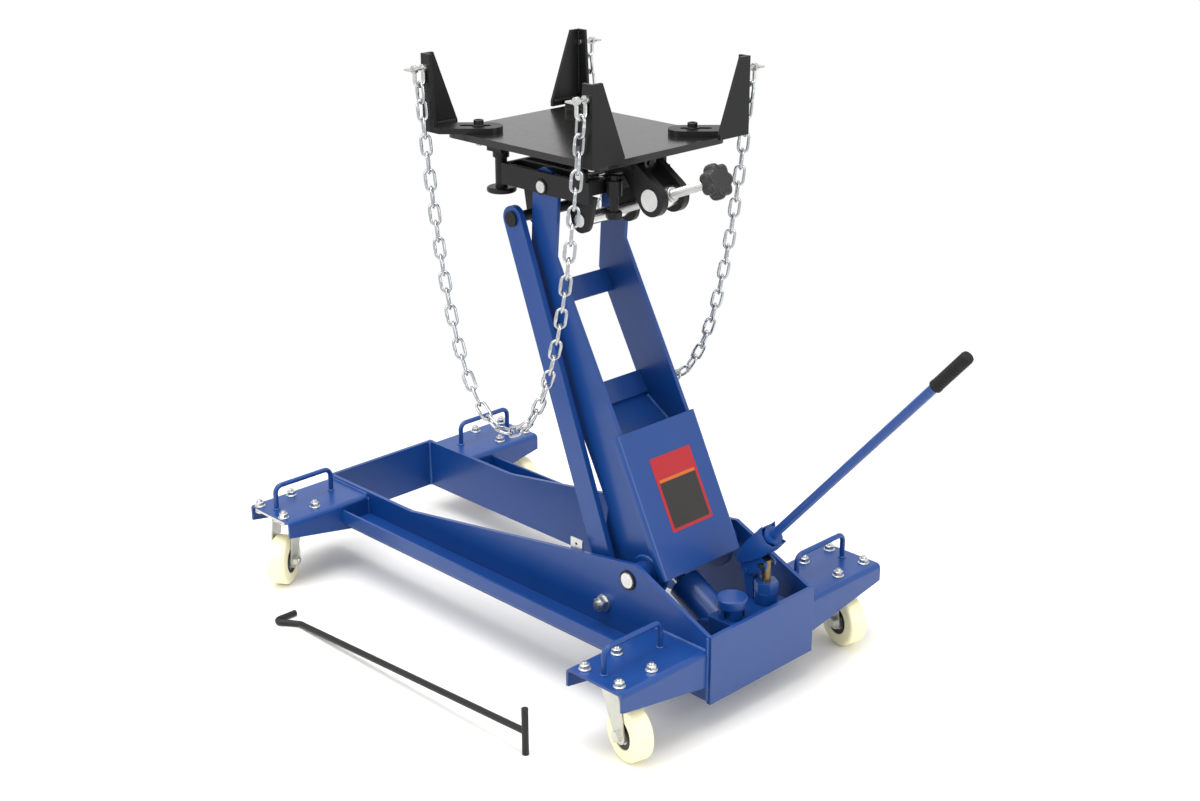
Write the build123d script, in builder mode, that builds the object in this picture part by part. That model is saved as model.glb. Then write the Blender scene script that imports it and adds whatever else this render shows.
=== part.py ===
from build123d import *
from math import asinh, atan2, cos, cosh, degrees, radians, sin, sinh
import os

# Transmission jack, raised, in millimetres. X points to the nose, Y to the left, Z up.
# Stations are measured from the rear face of the chassis, offsets from its centreline
# and heights from the floor.

# Chassis
chassis_length = 1075.0
rail_thickness = 8.0
rail_outer = 137.0
rail_bottom = 54.0
nose_height = 156.0
bend_station = 806.0
peak_station = 182.0
rail_above_pivot = 35.0
tail_height = 178.0
crossbar_thickness = 8.0
crossbar_bottom = 50.0
bay_floor_thickness = 5.0
bay_floor_length = 150.0

# Side angles that stiffen the rails
angle_thickness = 5.0
angle_bottom = 105.0
angle_reach = 68.0
angle_height = 32.0
angle_bend = 6.0

# Outriggers
outrigger_width = 132.0
outrigger_thickness = 5.0
outrigger_top = 150.0
outrigger_bend = 7.0
front_outrigger_reach = 333.5
rear_outrigger_reach = 344.0
front_outrigger_behind_nose = 68.0
front_outrigger_station = chassis_length - front_outrigger_behind_nose
rear_outrigger_station = 73.0
flange_root_height = 82.0
flange_tip_height = 116.0

# Casters
caster_offset = 287.0
front_caster_ahead = 5.0
bolt_pattern_x = 81.0
bolt_pattern_y = 76.0
caster_bolt = 10.0
caster_bolt_head = 20.0
caster_bolt_head_height = 4.0
nut_flange = 22.0
nut_flange_height = 2.5
nut_size = 16.0
nut_height = 10.0
stud_proud = 4.0
caster_plate_x = 100.0
caster_plate_y = 92.0
caster_plate_thickness = 5.0
race_diameter = 58.0
race_height = 8.0
kingpin_diameter = 12.0
kingpin_head = 22.0
kingpin_head_height = 4.0
wheel_diameter = 100.0
wheel_width = 36.0
wheel_edge = 7.0
hub_recess = 54.0
hub_recess_depth = 3.0
axle_diameter = 12.0
axle_nut_size = 19.0
axle_nut_height = 9.0
axle_proud = 3.0
fork_sheet = 3.0
fork_side_gap = 1.6
fork_trail = 38.0
fork_top_front = 34.0
fork_top_rear = 26.0
fork_foot = 16.0
swivel_gap = 0.5
running_gap = 0.1
fit_gap = 0.05
side_gap = 0.3
heading_front_left = 124.0
heading_front_right = 197.0
heading_rear_left = 167.0
heading_rear_right = 165.0

# Corner handles
handle_rod = 10.0
handle_span = 135.0
handle_height = 53.0
handle_bend = 15.0
handle_ahead = 4.0
front_handle_offset = 243.0
rear_handle_offset = 249.0

# Lift arm, in its raised pose
arm_pivot_station = 197.5
arm_pivot_height = 218.0
peak_height = arm_pivot_height + rail_above_pivot
head_pivot_station = 447.0
head_pivot_height = 873.0
arm_outer = 90.0
arm_plate_thickness = 8.0
arm_foot_radius = 46.0
arm_tip_radius = 32.0
horn_dx = 77.5
horn_dz = -3.0
horn_radius = 25.0
horn_pin_diameter = 20.0
cover_low_dx = -55.5
cover_low_dz = 3.0
cover_high_dx = 64.5
cover_high_dz = 241.0
cover_thickness = 4.0
cover_half_width = 101.0
cover_lip = 14.0
cover_bend = 5.0
cross_plate_width = 43.0
cross_plate_thickness = 8.0
upper_cross_dx = 23.0
upper_cross_dz = -211.5
upper_cross_lean = 60.3
lower_cross_dx = 183.3
lower_cross_dz = 266.5
lower_cross_lean = 57.5
panel_thickness = 5.0
panel_slope = 31.0

# Edge of the arm plates below the head, as offsets from the head pivot
neck_front_top = (37.0, -91.0)
neck_front = (43.0, -189.0)
neck_front_low = (21.0, -232.0)
neck_rear = (-22.0, -124.0)

# Edge of the arm plates above the foot, as offsets from the arm pivot
shin_front_high = (195.5, 285.5)
shin_front = (164.5, 221.0)
shin_front_low = (137.5, 172.0)
knee_front = (96.5, 93.0)
toe_front = (103.5, 44.0)

# Arm pivot
pivot_pin_diameter = 28.0
pivot_pin_proud = 4.0
pivot_ring_diameter = 36.0
pivot_ring_height = 2.5
pivot_tube_diameter = 44.0
pivot_boss_diameter = 60.0
pivot_boss_height = 6.0

# Levelling link, parallel to the arm
link_dx = 60.0
link_dz = -65.0
link_inner = 104.0
link_thickness = 12.0
link_width = 46.0
link_bolt_diameter = 16.0
link_bolt_head_height = 7.0
link_bolt_head_size = 24.0
link_spacer_diameter = 30.0
link_nut_flange = 32.0
link_nut_flange_height = 3.0
link_nut_height = 14.0
link_stud_proud = 6.0
link_shaft_diameter = 20.0
link_cap_diameter = 28.0
link_cap_height = 4.0

# Head yoke
yoke_rear_station = 329.0
yoke_front_station = 550.0
yoke_below_pivot = 12.0
yoke_depth = 38.0
yoke_bottom = head_pivot_height - yoke_below_pivot
yoke_top = yoke_bottom + yoke_depth
yoke_plate = 8.0
yoke_inner = 92.0
yoke_rear_plate_rise = 15.0
yoke_rear_plate_bottom = yoke_bottom + yoke_rear_plate_rise
lug_plate_outer = 62.0
lug_plate_thickness = 9.0
link_lug_radius = 19.0
head_pin_diameter = 20.0
head_collar_diameter = 27.0
head_collar_height = 2.0
head_pin_proud = 3.0

# Pitch of the saddle
pitch_station = 352.0
pitch_above_yoke = 9.0
pitch_height = yoke_top + pitch_above_yoke
pitch_pin_diameter = 14.0
pitch_ear_radius = 14.0
pitch_barrel_diameter = 26.0
tilt_beam_rear = 292.0
tilt_beam_front = 598.0
tilt_beam_half = 38.0
tilt_beam_above_pitch = 10.0
tilt_beam_depth = 16.0
tilt_beam_bottom = pitch_height + tilt_beam_above_pitch
tilt_beam_top = tilt_beam_bottom + tilt_beam_depth
upper_trunnion_station = 250.0
upper_trunnion_drop = 46.0
upper_trunnion_height = tilt_beam_bottom - upper_trunnion_drop
upper_trunnion_diameter = 38.0
upper_lug_radius = 29.0
upper_lug_inner = 19.0
upper_lug_thickness = 14.0
upper_lug_root = 30.0
lower_trunnion_station = 389.0
lower_trunnion_drop = 44.0
lower_trunnion_height = yoke_bottom - lower_trunnion_drop
lower_trunnion_diameter = 24.0
lower_lug_radius = 23.0
trunnion_proud = 3.0
screw_diameter = 16.0
screw_nut_gap = 0.8
screw_past_nut = 34.0
screw_collar_diameter = 26.0
screw_collar_height = 5.0
knob_distance = 128.0
knob_diameter = 62.0
knob_thickness = 24.0
knob_lobes = 7
knob_lobe_radius = 9.0

# Roll of the saddle
roll_pin_diameter = 12.0
roll_pin_height = (tilt_beam_bottom + tilt_beam_top) / 2
roll_lug_thickness = 10.0
roll_lug_radius = 14.0
roll_pin_proud = 3.0
roll_arm_rear = 560.0
roll_arm_depth = 14.0
roll_arm_top = roll_pin_height
roll_arm_bottom = roll_arm_top - roll_arm_depth
roll_screw_station = 577.0
roll_screw_offset = 76.0
roll_screw_diameter = 22.0
roll_screw_tip = 12.0
roll_boss_diameter = 30.0
roll_boss_drop = 10.0
roll_boss_bottom = roll_arm_bottom - roll_boss_drop
roll_wheel_diameter = 54.0
roll_wheel_height = 10.0
roll_wheel_drop = 74.0
roll_wheel_bottom = roll_arm_bottom - roll_wheel_drop
roll_wheel_edge = 4.0

# Rear stop bolt
stop_bolt_station = 316.0
stop_bolt_offset = 53.0
stop_bolt_diameter = 16.0
stop_bolt_head_size = 25.0
stop_bolt_head_height = 12.0
stop_bolt_length = 75.0
stop_bolt_above_yoke = 9.0
stop_bolt_top = yoke_top + stop_bolt_above_yoke
stop_bolt_bottom = stop_bolt_top - stop_bolt_length
stop_boss_diameter = 28.0
stop_boss_rise = 11.0
stop_boss_bottom = yoke_bottom + stop_boss_rise

# Saddle and its corner brackets
saddle_station = 440.0
saddle_length = 388.0
saddle_width = 317.0
saddle_thickness = 12.0
saddle_above_beam = 8.0
saddle_top = tilt_beam_top + saddle_above_beam + saddle_thickness
saddle_corner = 22.0
bracket_root_inside_end = 64.0
bracket_root_inside_edge = 46.5
bracket_root_x = saddle_length / 2 - bracket_root_inside_end
bracket_root_y = saddle_width / 2 - bracket_root_inside_edge
bracket_bolt_along = 15.6
bracket_width = 54.0
bracket_thickness = 10.0
bracket_slot_width = 13.0
bracket_slot_length = 56.0
bracket_slot_start = -6.0
bracket_spine_past_end = 18.0
bracket_spine_past_edge = 31.5
bracket_spine_x = saddle_length / 2 + bracket_spine_past_end
bracket_spine_y = saddle_width / 2 + bracket_spine_past_edge
post_height = 136.0
post_sheet = 6.0
post_wide_foot = 74.0
post_wide_top = 24.0
post_narrow_foot = 30.0
post_narrow_top = 22.0
post_pin_drop = 24.0
bracket_bolt = 12.0
bracket_bolt_head = 24.0
bracket_bolt_head_height = 6.0
bracket_nut_size = 19.0
bracket_nut_height = 9.0

# Shackles and chains
shackle_wire = 7.0
shackle_inside = 13.0
shackle_depth = 30.0
shackle_eye = 14.0
shackle_pin = 6.5
shackle_head = 9.0
wing_length = 20.0
wing_width = 12.0
wing_thickness = 3.0
chain_wire = 5.5
chain_link_length = 42.0
chain_link_width = 22.0
chain_sag = 590.0
chain_gap = 0.4

# Hydraulic unit
block_length = 74.0
block_left = 57.0
block_right = -92.0
block_top = 162.0
block_edge = 3.0
pump_station = 45.4
pump_offset = -57.0
pump_barrel_diameter = 42.0
pump_barrel_height = 22.0
gland_size = 38.0
gland_height = 19.5
plunger_diameter = 15.6
plunger_length = 66.0
plunger_pin_height = 235.7
plunger_pin_diameter = 8.0
plunger_above_pin = 9.0
plunger_stroke = 26.0
valve_station = 50.0
valve_offset = 29.0
valve_body_diameter = 46.0
valve_body_height = 22.0
valve_cap_diameter = 56.0
valve_cap_height = 18.0
valve_cap_edge = 4.0
valve_stem_diameter = 12.0
valve_stem_length = 18.0
valve_notch = 11.0
fulcrum_station = 80.8
fulcrum_height = 214.7
fulcrum_radius = 11.0
fulcrum_half_width = 9.0
fulcrum_foot = 15.0
fulcrum_pin_diameter = 10.0
fulcrum_pin_proud = 2.5

# Pump handle
handle_rise = 48.75
socket_diameter = 30.0
socket_drop = 17.0
socket_start = 14.5
socket_length = 74.0
socket_flare = 36.0
socket_flare_length = 6.0
socket_ear_thickness = 5.0
socket_ear_radius = 8.0
slot_play = 1.2
slot_travel = 8.0
slot_inward = 1.7
tube_diameter = 16.5
tube_wall = 2.0
tube_length = 622.0
tube_insertion = 60.0
grip_diameter = 23.0
grip_length = 87.0
grip_end = 4.0

# Ram
ram_pivot_station = 107.0
ram_pivot_height = 122.0
ram_diameter = 64.0
ram_rear = 10.0
ram_front = 94.0
ram_wall = 9.0
ram_cap = 5.0
ram_rod_diameter = 24.0
piston_length = 9.0
piston_start = 79.5
pad_diameter = 42.0
pad_thickness = 6.0
trunnion_pin_diameter = 14.0
ear_radius = 16.0
ear_thickness = 10.0
contact_gap = 0.3

# Loose pull rod on the floor
pull_rod_diameter = 12.0
pull_rod_tee_station = 168.0
pull_rod_offset = 412.0
pull_rod_tee_length = 88.0
pull_rod_length = 641.0
pull_rod_jog = 13.0
pull_rod_jog_run = 19.0
pull_rod_hook_run = 26.5
pull_rod_hook_out = 21.0
pull_rod_hook_length = 55.0
pull_rod_bend = 9.0

# Small tab on the left rail
tab_station = 336.0
tab_width = 30.0
tab_height = 42.0
tab_thickness = 3.0
tab_above_rail = 20.0
tab_hole = 6.0

# Sizes that follow from the ones above
rail_inner = rail_outer - rail_thickness
rail_front = chassis_length - crossbar_thickness
arm_inner = arm_outer - arm_plate_thickness
yoke_outer = yoke_inner + yoke_plate
saddle_bottom = saddle_top - saddle_thickness
handle_back = -cos(radians(handle_rise))
handle_up = sin(radians(handle_rise))
tube_start = socket_start + socket_length - tube_insertion
tube_end = tube_start + tube_length
socket_station = fulcrum_station + socket_drop * handle_up
socket_height = fulcrum_height - socket_drop * handle_back
rearmost = socket_station + handle_back * (tube_end + grip_end) - handle_up * grip_diameter / 2
leftmost = pull_rod_offset + pull_rod_jog + pull_rod_hook_out + pull_rod_diameter / 2

# The origin lies on the floor under the middle of the whole object, loose rod included.
datum_x = -(chassis_length + rearmost) / 2
datum_y = -(leftmost - rear_outrigger_reach) / 2

STANDING = (Align.CENTER, Align.CENTER, Align.MIN)


def side_plane(offset, station=0.0, height=0.0):
    """Vertical plane along the jack at this distance left of the centreline, facing right."""
    origin = (datum_x + station, datum_y + offset, height)
    return Plane(origin=origin, x_dir=(1, 0, 0), z_dir=(0, -1, 0))


def cross_plane(station, offset=0.0, height=0.0):
    """Vertical plane across the jack at this station, facing the nose."""
    origin = (datum_x + station, datum_y + offset, height)
    return Plane(origin=origin, x_dir=(0, 1, 0), z_dir=(1, 0, 0))


def level_plane(height, station=0.0, offset=0.0, heading=0.0):
    """Horizontal plane, centred on a vertical axis and turned by a heading in degrees."""
    origin = (datum_x + station, datum_y + offset, height)
    ahead = (cos(radians(heading)), sin(radians(heading)), 0)
    return Plane(origin=origin, x_dir=ahead, z_dir=(0, 0, 1))


def axis_plane(station, height, run, rise, offset=0.0):
    """Plane square to a direction in the side view, with its origin on that axis."""
    origin = (datum_x + station, datum_y + offset, height)
    return Plane(origin=origin, x_dir=(0, 1, 0), z_dir=(run, 0, rise))


def slab(rear, front, right, left, bottom, top, mode=Mode.ADD):
    """Rectangular block between two stations, two offsets and two heights."""
    with Locations(level_plane(bottom, (rear + front) / 2, (right + left) / 2)):
        Box(front - rear, left - right, top - bottom, align=STANDING, mode=mode)


def bar(plane, diameter, length, mode=Mode.ADD):
    """Round bar that starts on the plane and runs along its normal."""
    with Locations(plane):
        Cylinder(diameter / 2, length, align=STANDING, mode=mode)


def hex_bar(plane, size, length):
    """Hexagonal bar, by its size across flats, that starts on the plane."""
    with BuildSketch(plane) as hexagon:
        RegularPolygon(size / 2, 6, major_radius=False, rotation=30)
    extrude(hexagon.sketch, amount=length)


def mirrored(shape):
    """The same piece on the other side of the centreline."""
    return mirror(shape, about=side_plane(0))


def together(*shapes):
    """Separate solids that share one name."""
    return Compound([solid for shape in shapes for solid in shape.solids()])


# Side rails: plates on edge that rise to the arm pivot and fall to the tail
link_low_station = arm_pivot_station + link_dx
link_low_height = arm_pivot_height + link_dz


def side_rail():
    """Left rail with the hole for the arm pivot pin."""
    with BuildPart() as rail:
        with BuildSketch(side_plane(rail_outer)):
            Polygon(
                (crossbar_thickness, rail_bottom),
                (rail_front, rail_bottom),
                (rail_front, nose_height),
                (bend_station, nose_height),
                (peak_station, peak_height),
                (crossbar_thickness, tail_height),
                align=None,
            )
        extrude(amount=rail_thickness)
        pivot_seat = side_plane(rail_outer, arm_pivot_station, arm_pivot_height)
        bar(pivot_seat, pivot_pin_diameter + 2 * fit_gap, rail_thickness, Mode.SUBTRACT)
    return rail.part


with BuildPart() as rail_left:
    add(side_rail())
    link_seat = side_plane(rail_outer, link_low_station, link_low_height)
    bar(link_seat, link_bolt_diameter + 2 * fit_gap, rail_thickness, Mode.SUBTRACT)
rail_right = mirrored(side_rail())

with BuildPart() as front_crossbar:
    slab(rail_front, chassis_length, -rail_outer, rail_outer, rail_bottom, nose_height)

with BuildPart() as rear_crossbar:
    slab(0, crossbar_thickness, -rail_outer, rail_outer, crossbar_bottom, tail_height)

bay_floor_top = rail_bottom + bay_floor_thickness
with BuildPart() as bay_floor:
    bay_front = crossbar_thickness + bay_floor_length
    slab(crossbar_thickness, bay_front, -rail_inner, rail_inner, rail_bottom, bay_floor_top)

# Side angles between the outriggers: a shelf with an upturned lip
angle_rear = rear_outrigger_station + outrigger_width / 2
angle_front = front_outrigger_station - outrigger_width / 2
half_angle = angle_thickness / 2

with BuildPart() as side_angle:
    with BuildSketch(cross_plane(angle_rear)):
        with BuildLine():
            FilletPolyline(
                (rail_outer, angle_bottom + half_angle),
                (rail_outer + angle_reach - half_angle, angle_bottom + half_angle),
                (rail_outer + angle_reach - half_angle, angle_bottom + angle_height),
                radius=angle_bend,
            )
        trace(line_width=angle_thickness)
    extrude(amount=angle_front - angle_rear)
side_channels = together(side_angle.part, mirrored(side_angle.part))

# Outriggers: channels with the open side down, shallower towards their ends
caster_bolt_points = GridLocations(bolt_pattern_x, bolt_pattern_y, 2, 2).locations


def outrigger(station, reach, kingpin_station):
    """Left outrigger with the holes for its caster."""
    half = outrigger_width / 2 - outrigger_thickness / 2
    web = outrigger_top - outrigger_thickness / 2
    with BuildPart() as channel:
        with BuildSketch(side_plane(reach)):
            with BuildLine():
                FilletPolyline(
                    (station - half, flange_root_height),
                    (station - half, web),
                    (station + half, web),
                    (station + half, flange_root_height),
                    radius=outrigger_bend,
                )
            trace(line_width=outrigger_thickness)
        extrude(amount=reach - rail_outer)
        with BuildSketch(cross_plane(station - outrigger_width / 2)):
            Polygon(
                (rail_outer, flange_root_height),
                (reach, flange_root_height),
                (reach, flange_tip_height),
                align=None,
            )
        extrude(amount=outrigger_width, mode=Mode.SUBTRACT)
        with BuildSketch(level_plane(outrigger_top, kingpin_station, caster_offset)):
            with GridLocations(bolt_pattern_x, bolt_pattern_y, 2, 2):
                Circle(caster_bolt / 2 + fit_gap)
        extrude(amount=-outrigger_thickness, mode=Mode.SUBTRACT)
    return channel.part


front_kingpin = front_outrigger_station + front_caster_ahead
rear_kingpin = rear_outrigger_station
outrigger_front_left = outrigger(front_outrigger_station, front_outrigger_reach, front_kingpin)
outrigger_rear_left = outrigger(rear_outrigger_station, rear_outrigger_reach, rear_kingpin)
outrigger_front_right = mirrored(outrigger_front_left)
outrigger_rear_right = mirrored(outrigger_rear_left)


def corner_handle(station, offset):
    """Round bar bent to a U that stands on an outrigger."""
    foot = offset - handle_span / 2
    top = outrigger_top + handle_height - handle_rod / 2
    with BuildPart() as handle:
        with BuildLine(cross_plane(station)):
            FilletPolyline(
                (foot, outrigger_top),
                (foot, top),
                (foot + handle_span, top),
                (foot + handle_span, outrigger_top),
                radius=handle_bend,
            )
        with BuildSketch(level_plane(outrigger_top, station, foot)):
            Circle(handle_rod / 2)
        sweep()
    return handle.part


front_handle = corner_handle(front_kingpin + handle_ahead, front_handle_offset)
rear_handle = corner_handle(rear_kingpin + handle_ahead, rear_handle_offset)
corner_handles = together(front_handle, rear_handle, mirrored(front_handle), mirrored(rear_handle))

# Casters
caster_plate_top = outrigger_top - outrigger_thickness
caster_plate_bottom = caster_plate_top - caster_plate_thickness
race_bottom = caster_plate_bottom - race_height
fork_top = race_bottom - swivel_gap
fork_underside = fork_top - fork_sheet
wheel_radius = wheel_diameter / 2
fork_half = wheel_width / 2 + fork_side_gap + fork_sheet
corners = {
    "front_left": (front_kingpin, caster_offset, heading_front_left),
    "front_right": (front_kingpin, -caster_offset, heading_front_right),
    "rear_left": (rear_kingpin, caster_offset, heading_rear_left),
    "rear_right": (rear_kingpin, -caster_offset, heading_rear_right),
}


def fork_plane(corner, left, ahead=0.0, height=0.0):
    """Vertical plane along a caster fork, at a distance left of it and facing right."""
    station, offset, heading = corners[corner]
    run = cos(radians(heading))
    drift = sin(radians(heading))
    x = datum_x + station + ahead * run - left * drift
    y = datum_y + offset + ahead * drift + left * run
    return Plane(origin=(x, y, height), x_dir=(run, drift, 0), z_dir=(drift, -run, 0))


def caster_plate(corner):
    """Top plate of a caster with its bearing race and kingpin."""
    station, offset, heading = corners[corner]
    head_top = fork_underside - swivel_gap
    with BuildPart() as plate:
        with BuildSketch(level_plane(caster_plate_bottom, station, offset)):
            RectangleRounded(caster_plate_x, caster_plate_y, nut_flange / 4)
            with GridLocations(bolt_pattern_x, bolt_pattern_y, 2, 2):
                Circle(caster_bolt / 2 + fit_gap, mode=Mode.SUBTRACT)
        extrude(amount=caster_plate_thickness)
        bar(level_plane(race_bottom, station, offset), race_diameter, race_height)
        bar(level_plane(head_top, station, offset), kingpin_diameter, race_bottom - head_top)
        head_plane = level_plane(head_top - kingpin_head_height, station, offset)
        bar(head_plane, kingpin_head, kingpin_head_height)
    return plate.part


def caster_fork(corner):
    """Bent sheet fork with a cheek on each side of the wheel."""
    station, offset, heading = corners[corner]
    with BuildPart() as fork:
        for left in (fork_half, fork_sheet - fork_half):
            with BuildSketch(fork_plane(corner, left)):
                with Locations((fork_trail, wheel_radius)):
                    Circle(fork_foot)
                with Locations(((fork_top_front - fork_top_rear) / 2, fork_top - fork_sheet / 2)):
                    Rectangle(fork_top_front + fork_top_rear, fork_sheet)
                make_hull()
            extrude(amount=fork_sheet)
        with BuildSketch(level_plane(fork_underside, station, offset, heading)):
            with Locations(((fork_top_front - fork_top_rear) / 2, 0)):
                Rectangle(fork_top_front + fork_top_rear, 2 * fork_half)
        extrude(amount=fork_sheet)
        kingpin_hole = kingpin_diameter + 2 * running_gap
        bar(level_plane(fork_underside, station, offset), kingpin_hole, fork_sheet, Mode.SUBTRACT)
        axle_hole = fork_plane(corner, fork_half, fork_trail, wheel_radius)
        bar(axle_hole, axle_diameter + 2 * fit_gap, 2 * fork_half, Mode.SUBTRACT)
    return fork.part


def caster_axle(corner):
    """Axle bolt with its head on the right of the fork."""
    end = fork_half + axle_nut_height + axle_proud
    with BuildPart() as axle:
        bar(fork_plane(corner, end, fork_trail, wheel_radius), axle_diameter, end + fork_half)
        hex_bar(fork_plane(corner, -fork_half, fork_trail, wheel_radius), axle_nut_size, axle_nut_height)
    return axle.part


def caster_axle_nut(corner):
    """Nut on the left end of the axle bolt."""
    outer = fork_plane(corner, fork_half + axle_nut_height, fork_trail, wheel_radius)
    with BuildPart() as nut:
        hex_bar(outer, axle_nut_size, axle_nut_height)
        bar(outer, axle_diameter + 2 * fit_gap, axle_nut_height, Mode.SUBTRACT)
    return nut.part


def caster_wheel(corner):
    """Wheel with rounded edges, shallow hub recesses and its bore."""
    face = wheel_width / 2
    with BuildPart() as wheel:
        bar(fork_plane(corner, face, fork_trail, wheel_radius), wheel_diameter, wheel_width)
        fillet(wheel.edges().filter_by(GeomType.CIRCLE), wheel_edge)
        near = fork_plane(corner, face, fork_trail, wheel_radius)
        far = fork_plane(corner, hub_recess_depth - face, fork_trail, wheel_radius)
        for recess in (near, far):
            bar(recess, hub_recess, hub_recess_depth, Mode.SUBTRACT)
        bar(near, axle_diameter + 2 * running_gap, wheel_width, Mode.SUBTRACT)
    return wheel.part


def caster_bolts(corner):
    """Four bolts with flanged nuts that hold a caster to its outrigger."""
    station, offset, heading = corners[corner]
    with BuildPart() as bolts:
        for point in caster_bolt_points:
            x = station + point.position.X
            y = offset + point.position.Y
            below = caster_plate_bottom - caster_bolt_head_height
            bar(level_plane(below, x, y), caster_bolt_head, caster_bolt_head_height)
            tip = outrigger_top + nut_height + stud_proud
            bar(level_plane(caster_plate_bottom, x, y), caster_bolt, tip - caster_plate_bottom)
            bar(level_plane(outrigger_top, x, y), nut_flange, nut_flange_height)
            hex_bar(level_plane(outrigger_top, x, y), nut_size, nut_height)
    return bolts.part


caster_plates = together(*[caster_plate(corner) for corner in corners])
caster_nuts = together(*[caster_bolts(corner) for corner in corners])
caster_forks = {
    corner: together(caster_fork(corner), caster_axle(corner), caster_axle_nut(corner))
    for corner in corners
}
wheels = {corner: caster_wheel(corner) for corner in corners}

# Lift arm
horn_station = arm_pivot_station + horn_dx
horn_height = arm_pivot_height + horn_dz
cover_low = (arm_pivot_station + cover_low_dx, arm_pivot_height + cover_low_dz)
cover_high = (arm_pivot_station + cover_high_dx, arm_pivot_height + cover_high_dz)
cover_length = ((cover_high[0] - cover_low[0]) ** 2 + (cover_high[1] - cover_low[1]) ** 2) ** 0.5
cover_run = (cover_high[0] - cover_low[0]) / cover_length
cover_rise = (cover_high[1] - cover_low[1]) / cover_length


def from_head(offset):
    """Point of the side view given from the head pivot."""
    return (head_pivot_station + offset[0], head_pivot_height + offset[1])


def from_pivot(offset):
    """Point of the side view given from the arm pivot."""
    return (arm_pivot_station + offset[0], arm_pivot_height + offset[1])


def under_cover(point):
    """Point on the inner face of the cover below this point of its outer face."""
    return (point[0] + cover_thickness * cover_rise, point[1] - cover_thickness * cover_run)


def arm_outline(mode=Mode.ADD):
    """Side view of an arm plate."""
    with BuildSketch() as outline:
        with Locations((arm_pivot_station, arm_pivot_height)):
            Circle(arm_foot_radius)
        with Locations((horn_station, horn_height)):
            Circle(horn_radius)
        make_hull()
        with Locations((head_pivot_station, head_pivot_height)):
            Circle(arm_tip_radius)
        Polygon(
            from_head((-arm_tip_radius, 0)),
            from_head((arm_tip_radius, 0)),
            from_head(neck_front_top),
            from_head(neck_front),
            from_head(neck_front_low),
            from_pivot(shin_front_high),
            from_pivot(shin_front),
            from_pivot(shin_front_low),
            from_pivot(knee_front),
            from_pivot(toe_front),
            from_pivot((horn_dx + horn_radius, horn_dz)),
            from_pivot((0, 0)),
            under_cover(cover_low),
            under_cover(cover_high),
            from_head(neck_rear),
            align=None,
        )
    add(outline.sketch, mode=mode)


with BuildPart() as arm_plate_left:
    with BuildSketch(side_plane(arm_outer)):
        arm_outline()
        with Locations((arm_pivot_station, arm_pivot_height)):
            Circle(pivot_tube_diameter / 2 + fit_gap, mode=Mode.SUBTRACT)
        with Locations((horn_station, horn_height)):
            Circle(horn_pin_diameter / 2 + fit_gap, mode=Mode.SUBTRACT)
        with Locations((head_pivot_station, head_pivot_height)):
            Circle(head_pin_diameter / 2 + running_gap, mode=Mode.SUBTRACT)
    extrude(amount=arm_plate_thickness)
arm_plate_right = mirrored(arm_plate_left.part)


def leaning_plate(centre, lean):
    """Plate between the arm plates with its outer face on a leaning line through a point."""
    with BuildPart() as plate:
        with BuildSketch(side_plane(arm_inner)):
            with Locations(Location((centre[0], centre[1], 0), (0, 0, lean))):
                Rectangle(cross_plate_width, cross_plate_thickness, align=(Align.CENTER, Align.MIN))
        extrude(amount=2 * arm_inner)
    return plate.part


upper_cross = leaning_plate(from_head((upper_cross_dx, upper_cross_dz)), upper_cross_lean)
lower_cross = leaning_plate(from_pivot((lower_cross_dx, lower_cross_dz)), lower_cross_lean)

# The panel runs from the foot of the lower cross plate back and down to the cover.
panel_start = from_pivot(
    (
        lower_cross_dx - cross_plate_width / 2 * cos(radians(lower_cross_lean)),
        lower_cross_dz - cross_plate_width / 2 * sin(radians(lower_cross_lean)),
    )
)
with BuildPart() as arm_panel:
    with BuildSketch(side_plane(arm_inner)):
        with Locations(Location((panel_start[0], panel_start[1], 0), (0, 0, 180 + panel_slope))):
            Rectangle(2 * arm_inner, panel_thickness, align=(Align.MIN, Align.MIN))
        arm_outline(Mode.INTERSECT)
    extrude(amount=2 * arm_inner)

with BuildPart() as horn_pin:
    bar(side_plane(arm_outer, horn_station, horn_height), horn_pin_diameter, 2 * arm_outer)
arm_cross_plates = together(upper_cross, lower_cross, arm_panel.part, horn_pin.part)

with BuildPart() as arm_cover:
    with BuildSketch(axis_plane(cover_low[0], cover_low[1], cover_run, cover_rise)):
        half_sheet = cover_thickness / 2
        with BuildLine():
            FilletPolyline(
                (half_sheet - cover_half_width, -cover_lip),
                (half_sheet - cover_half_width, -half_sheet),
                (cover_half_width - half_sheet, -half_sheet),
                (cover_half_width - half_sheet, -cover_lip),
                radius=cover_bend,
            )
        trace(line_width=cover_thickness)
    extrude(amount=cover_length)

# Arm pivot: a tube through both arm plates turns on the fixed pin
tube_half = rail_inner - side_gap
with BuildPart() as arm_pivot_tube:
    bar(side_plane(tube_half, arm_pivot_station, arm_pivot_height), pivot_tube_diameter, 2 * tube_half)
    for left in (arm_outer + pivot_boss_height, -arm_outer):
        bar(side_plane(left, arm_pivot_station, arm_pivot_height), pivot_boss_diameter, pivot_boss_height)
    tube_mouth = side_plane(tube_half, arm_pivot_station, arm_pivot_height)
    bar(tube_mouth, pivot_pin_diameter + 2 * running_gap, 2 * tube_half, Mode.SUBTRACT)

pivot_pin_half = rail_outer + pivot_pin_proud
with BuildPart() as pivot_pin:
    bar(side_plane(pivot_pin_half, arm_pivot_station, arm_pivot_height), pivot_pin_diameter, 2 * pivot_pin_half)
with BuildPart() as pivot_ring:
    ring_face = side_plane(rail_outer + pivot_ring_height, arm_pivot_station, arm_pivot_height)
    bar(ring_face, pivot_ring_diameter, pivot_ring_height)
    bar(ring_face, pivot_pin_diameter + 2 * fit_gap, pivot_ring_height, Mode.SUBTRACT)
arm_pivot_pin = together(pivot_pin.part, pivot_ring.part, mirrored(pivot_ring.part))

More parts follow.
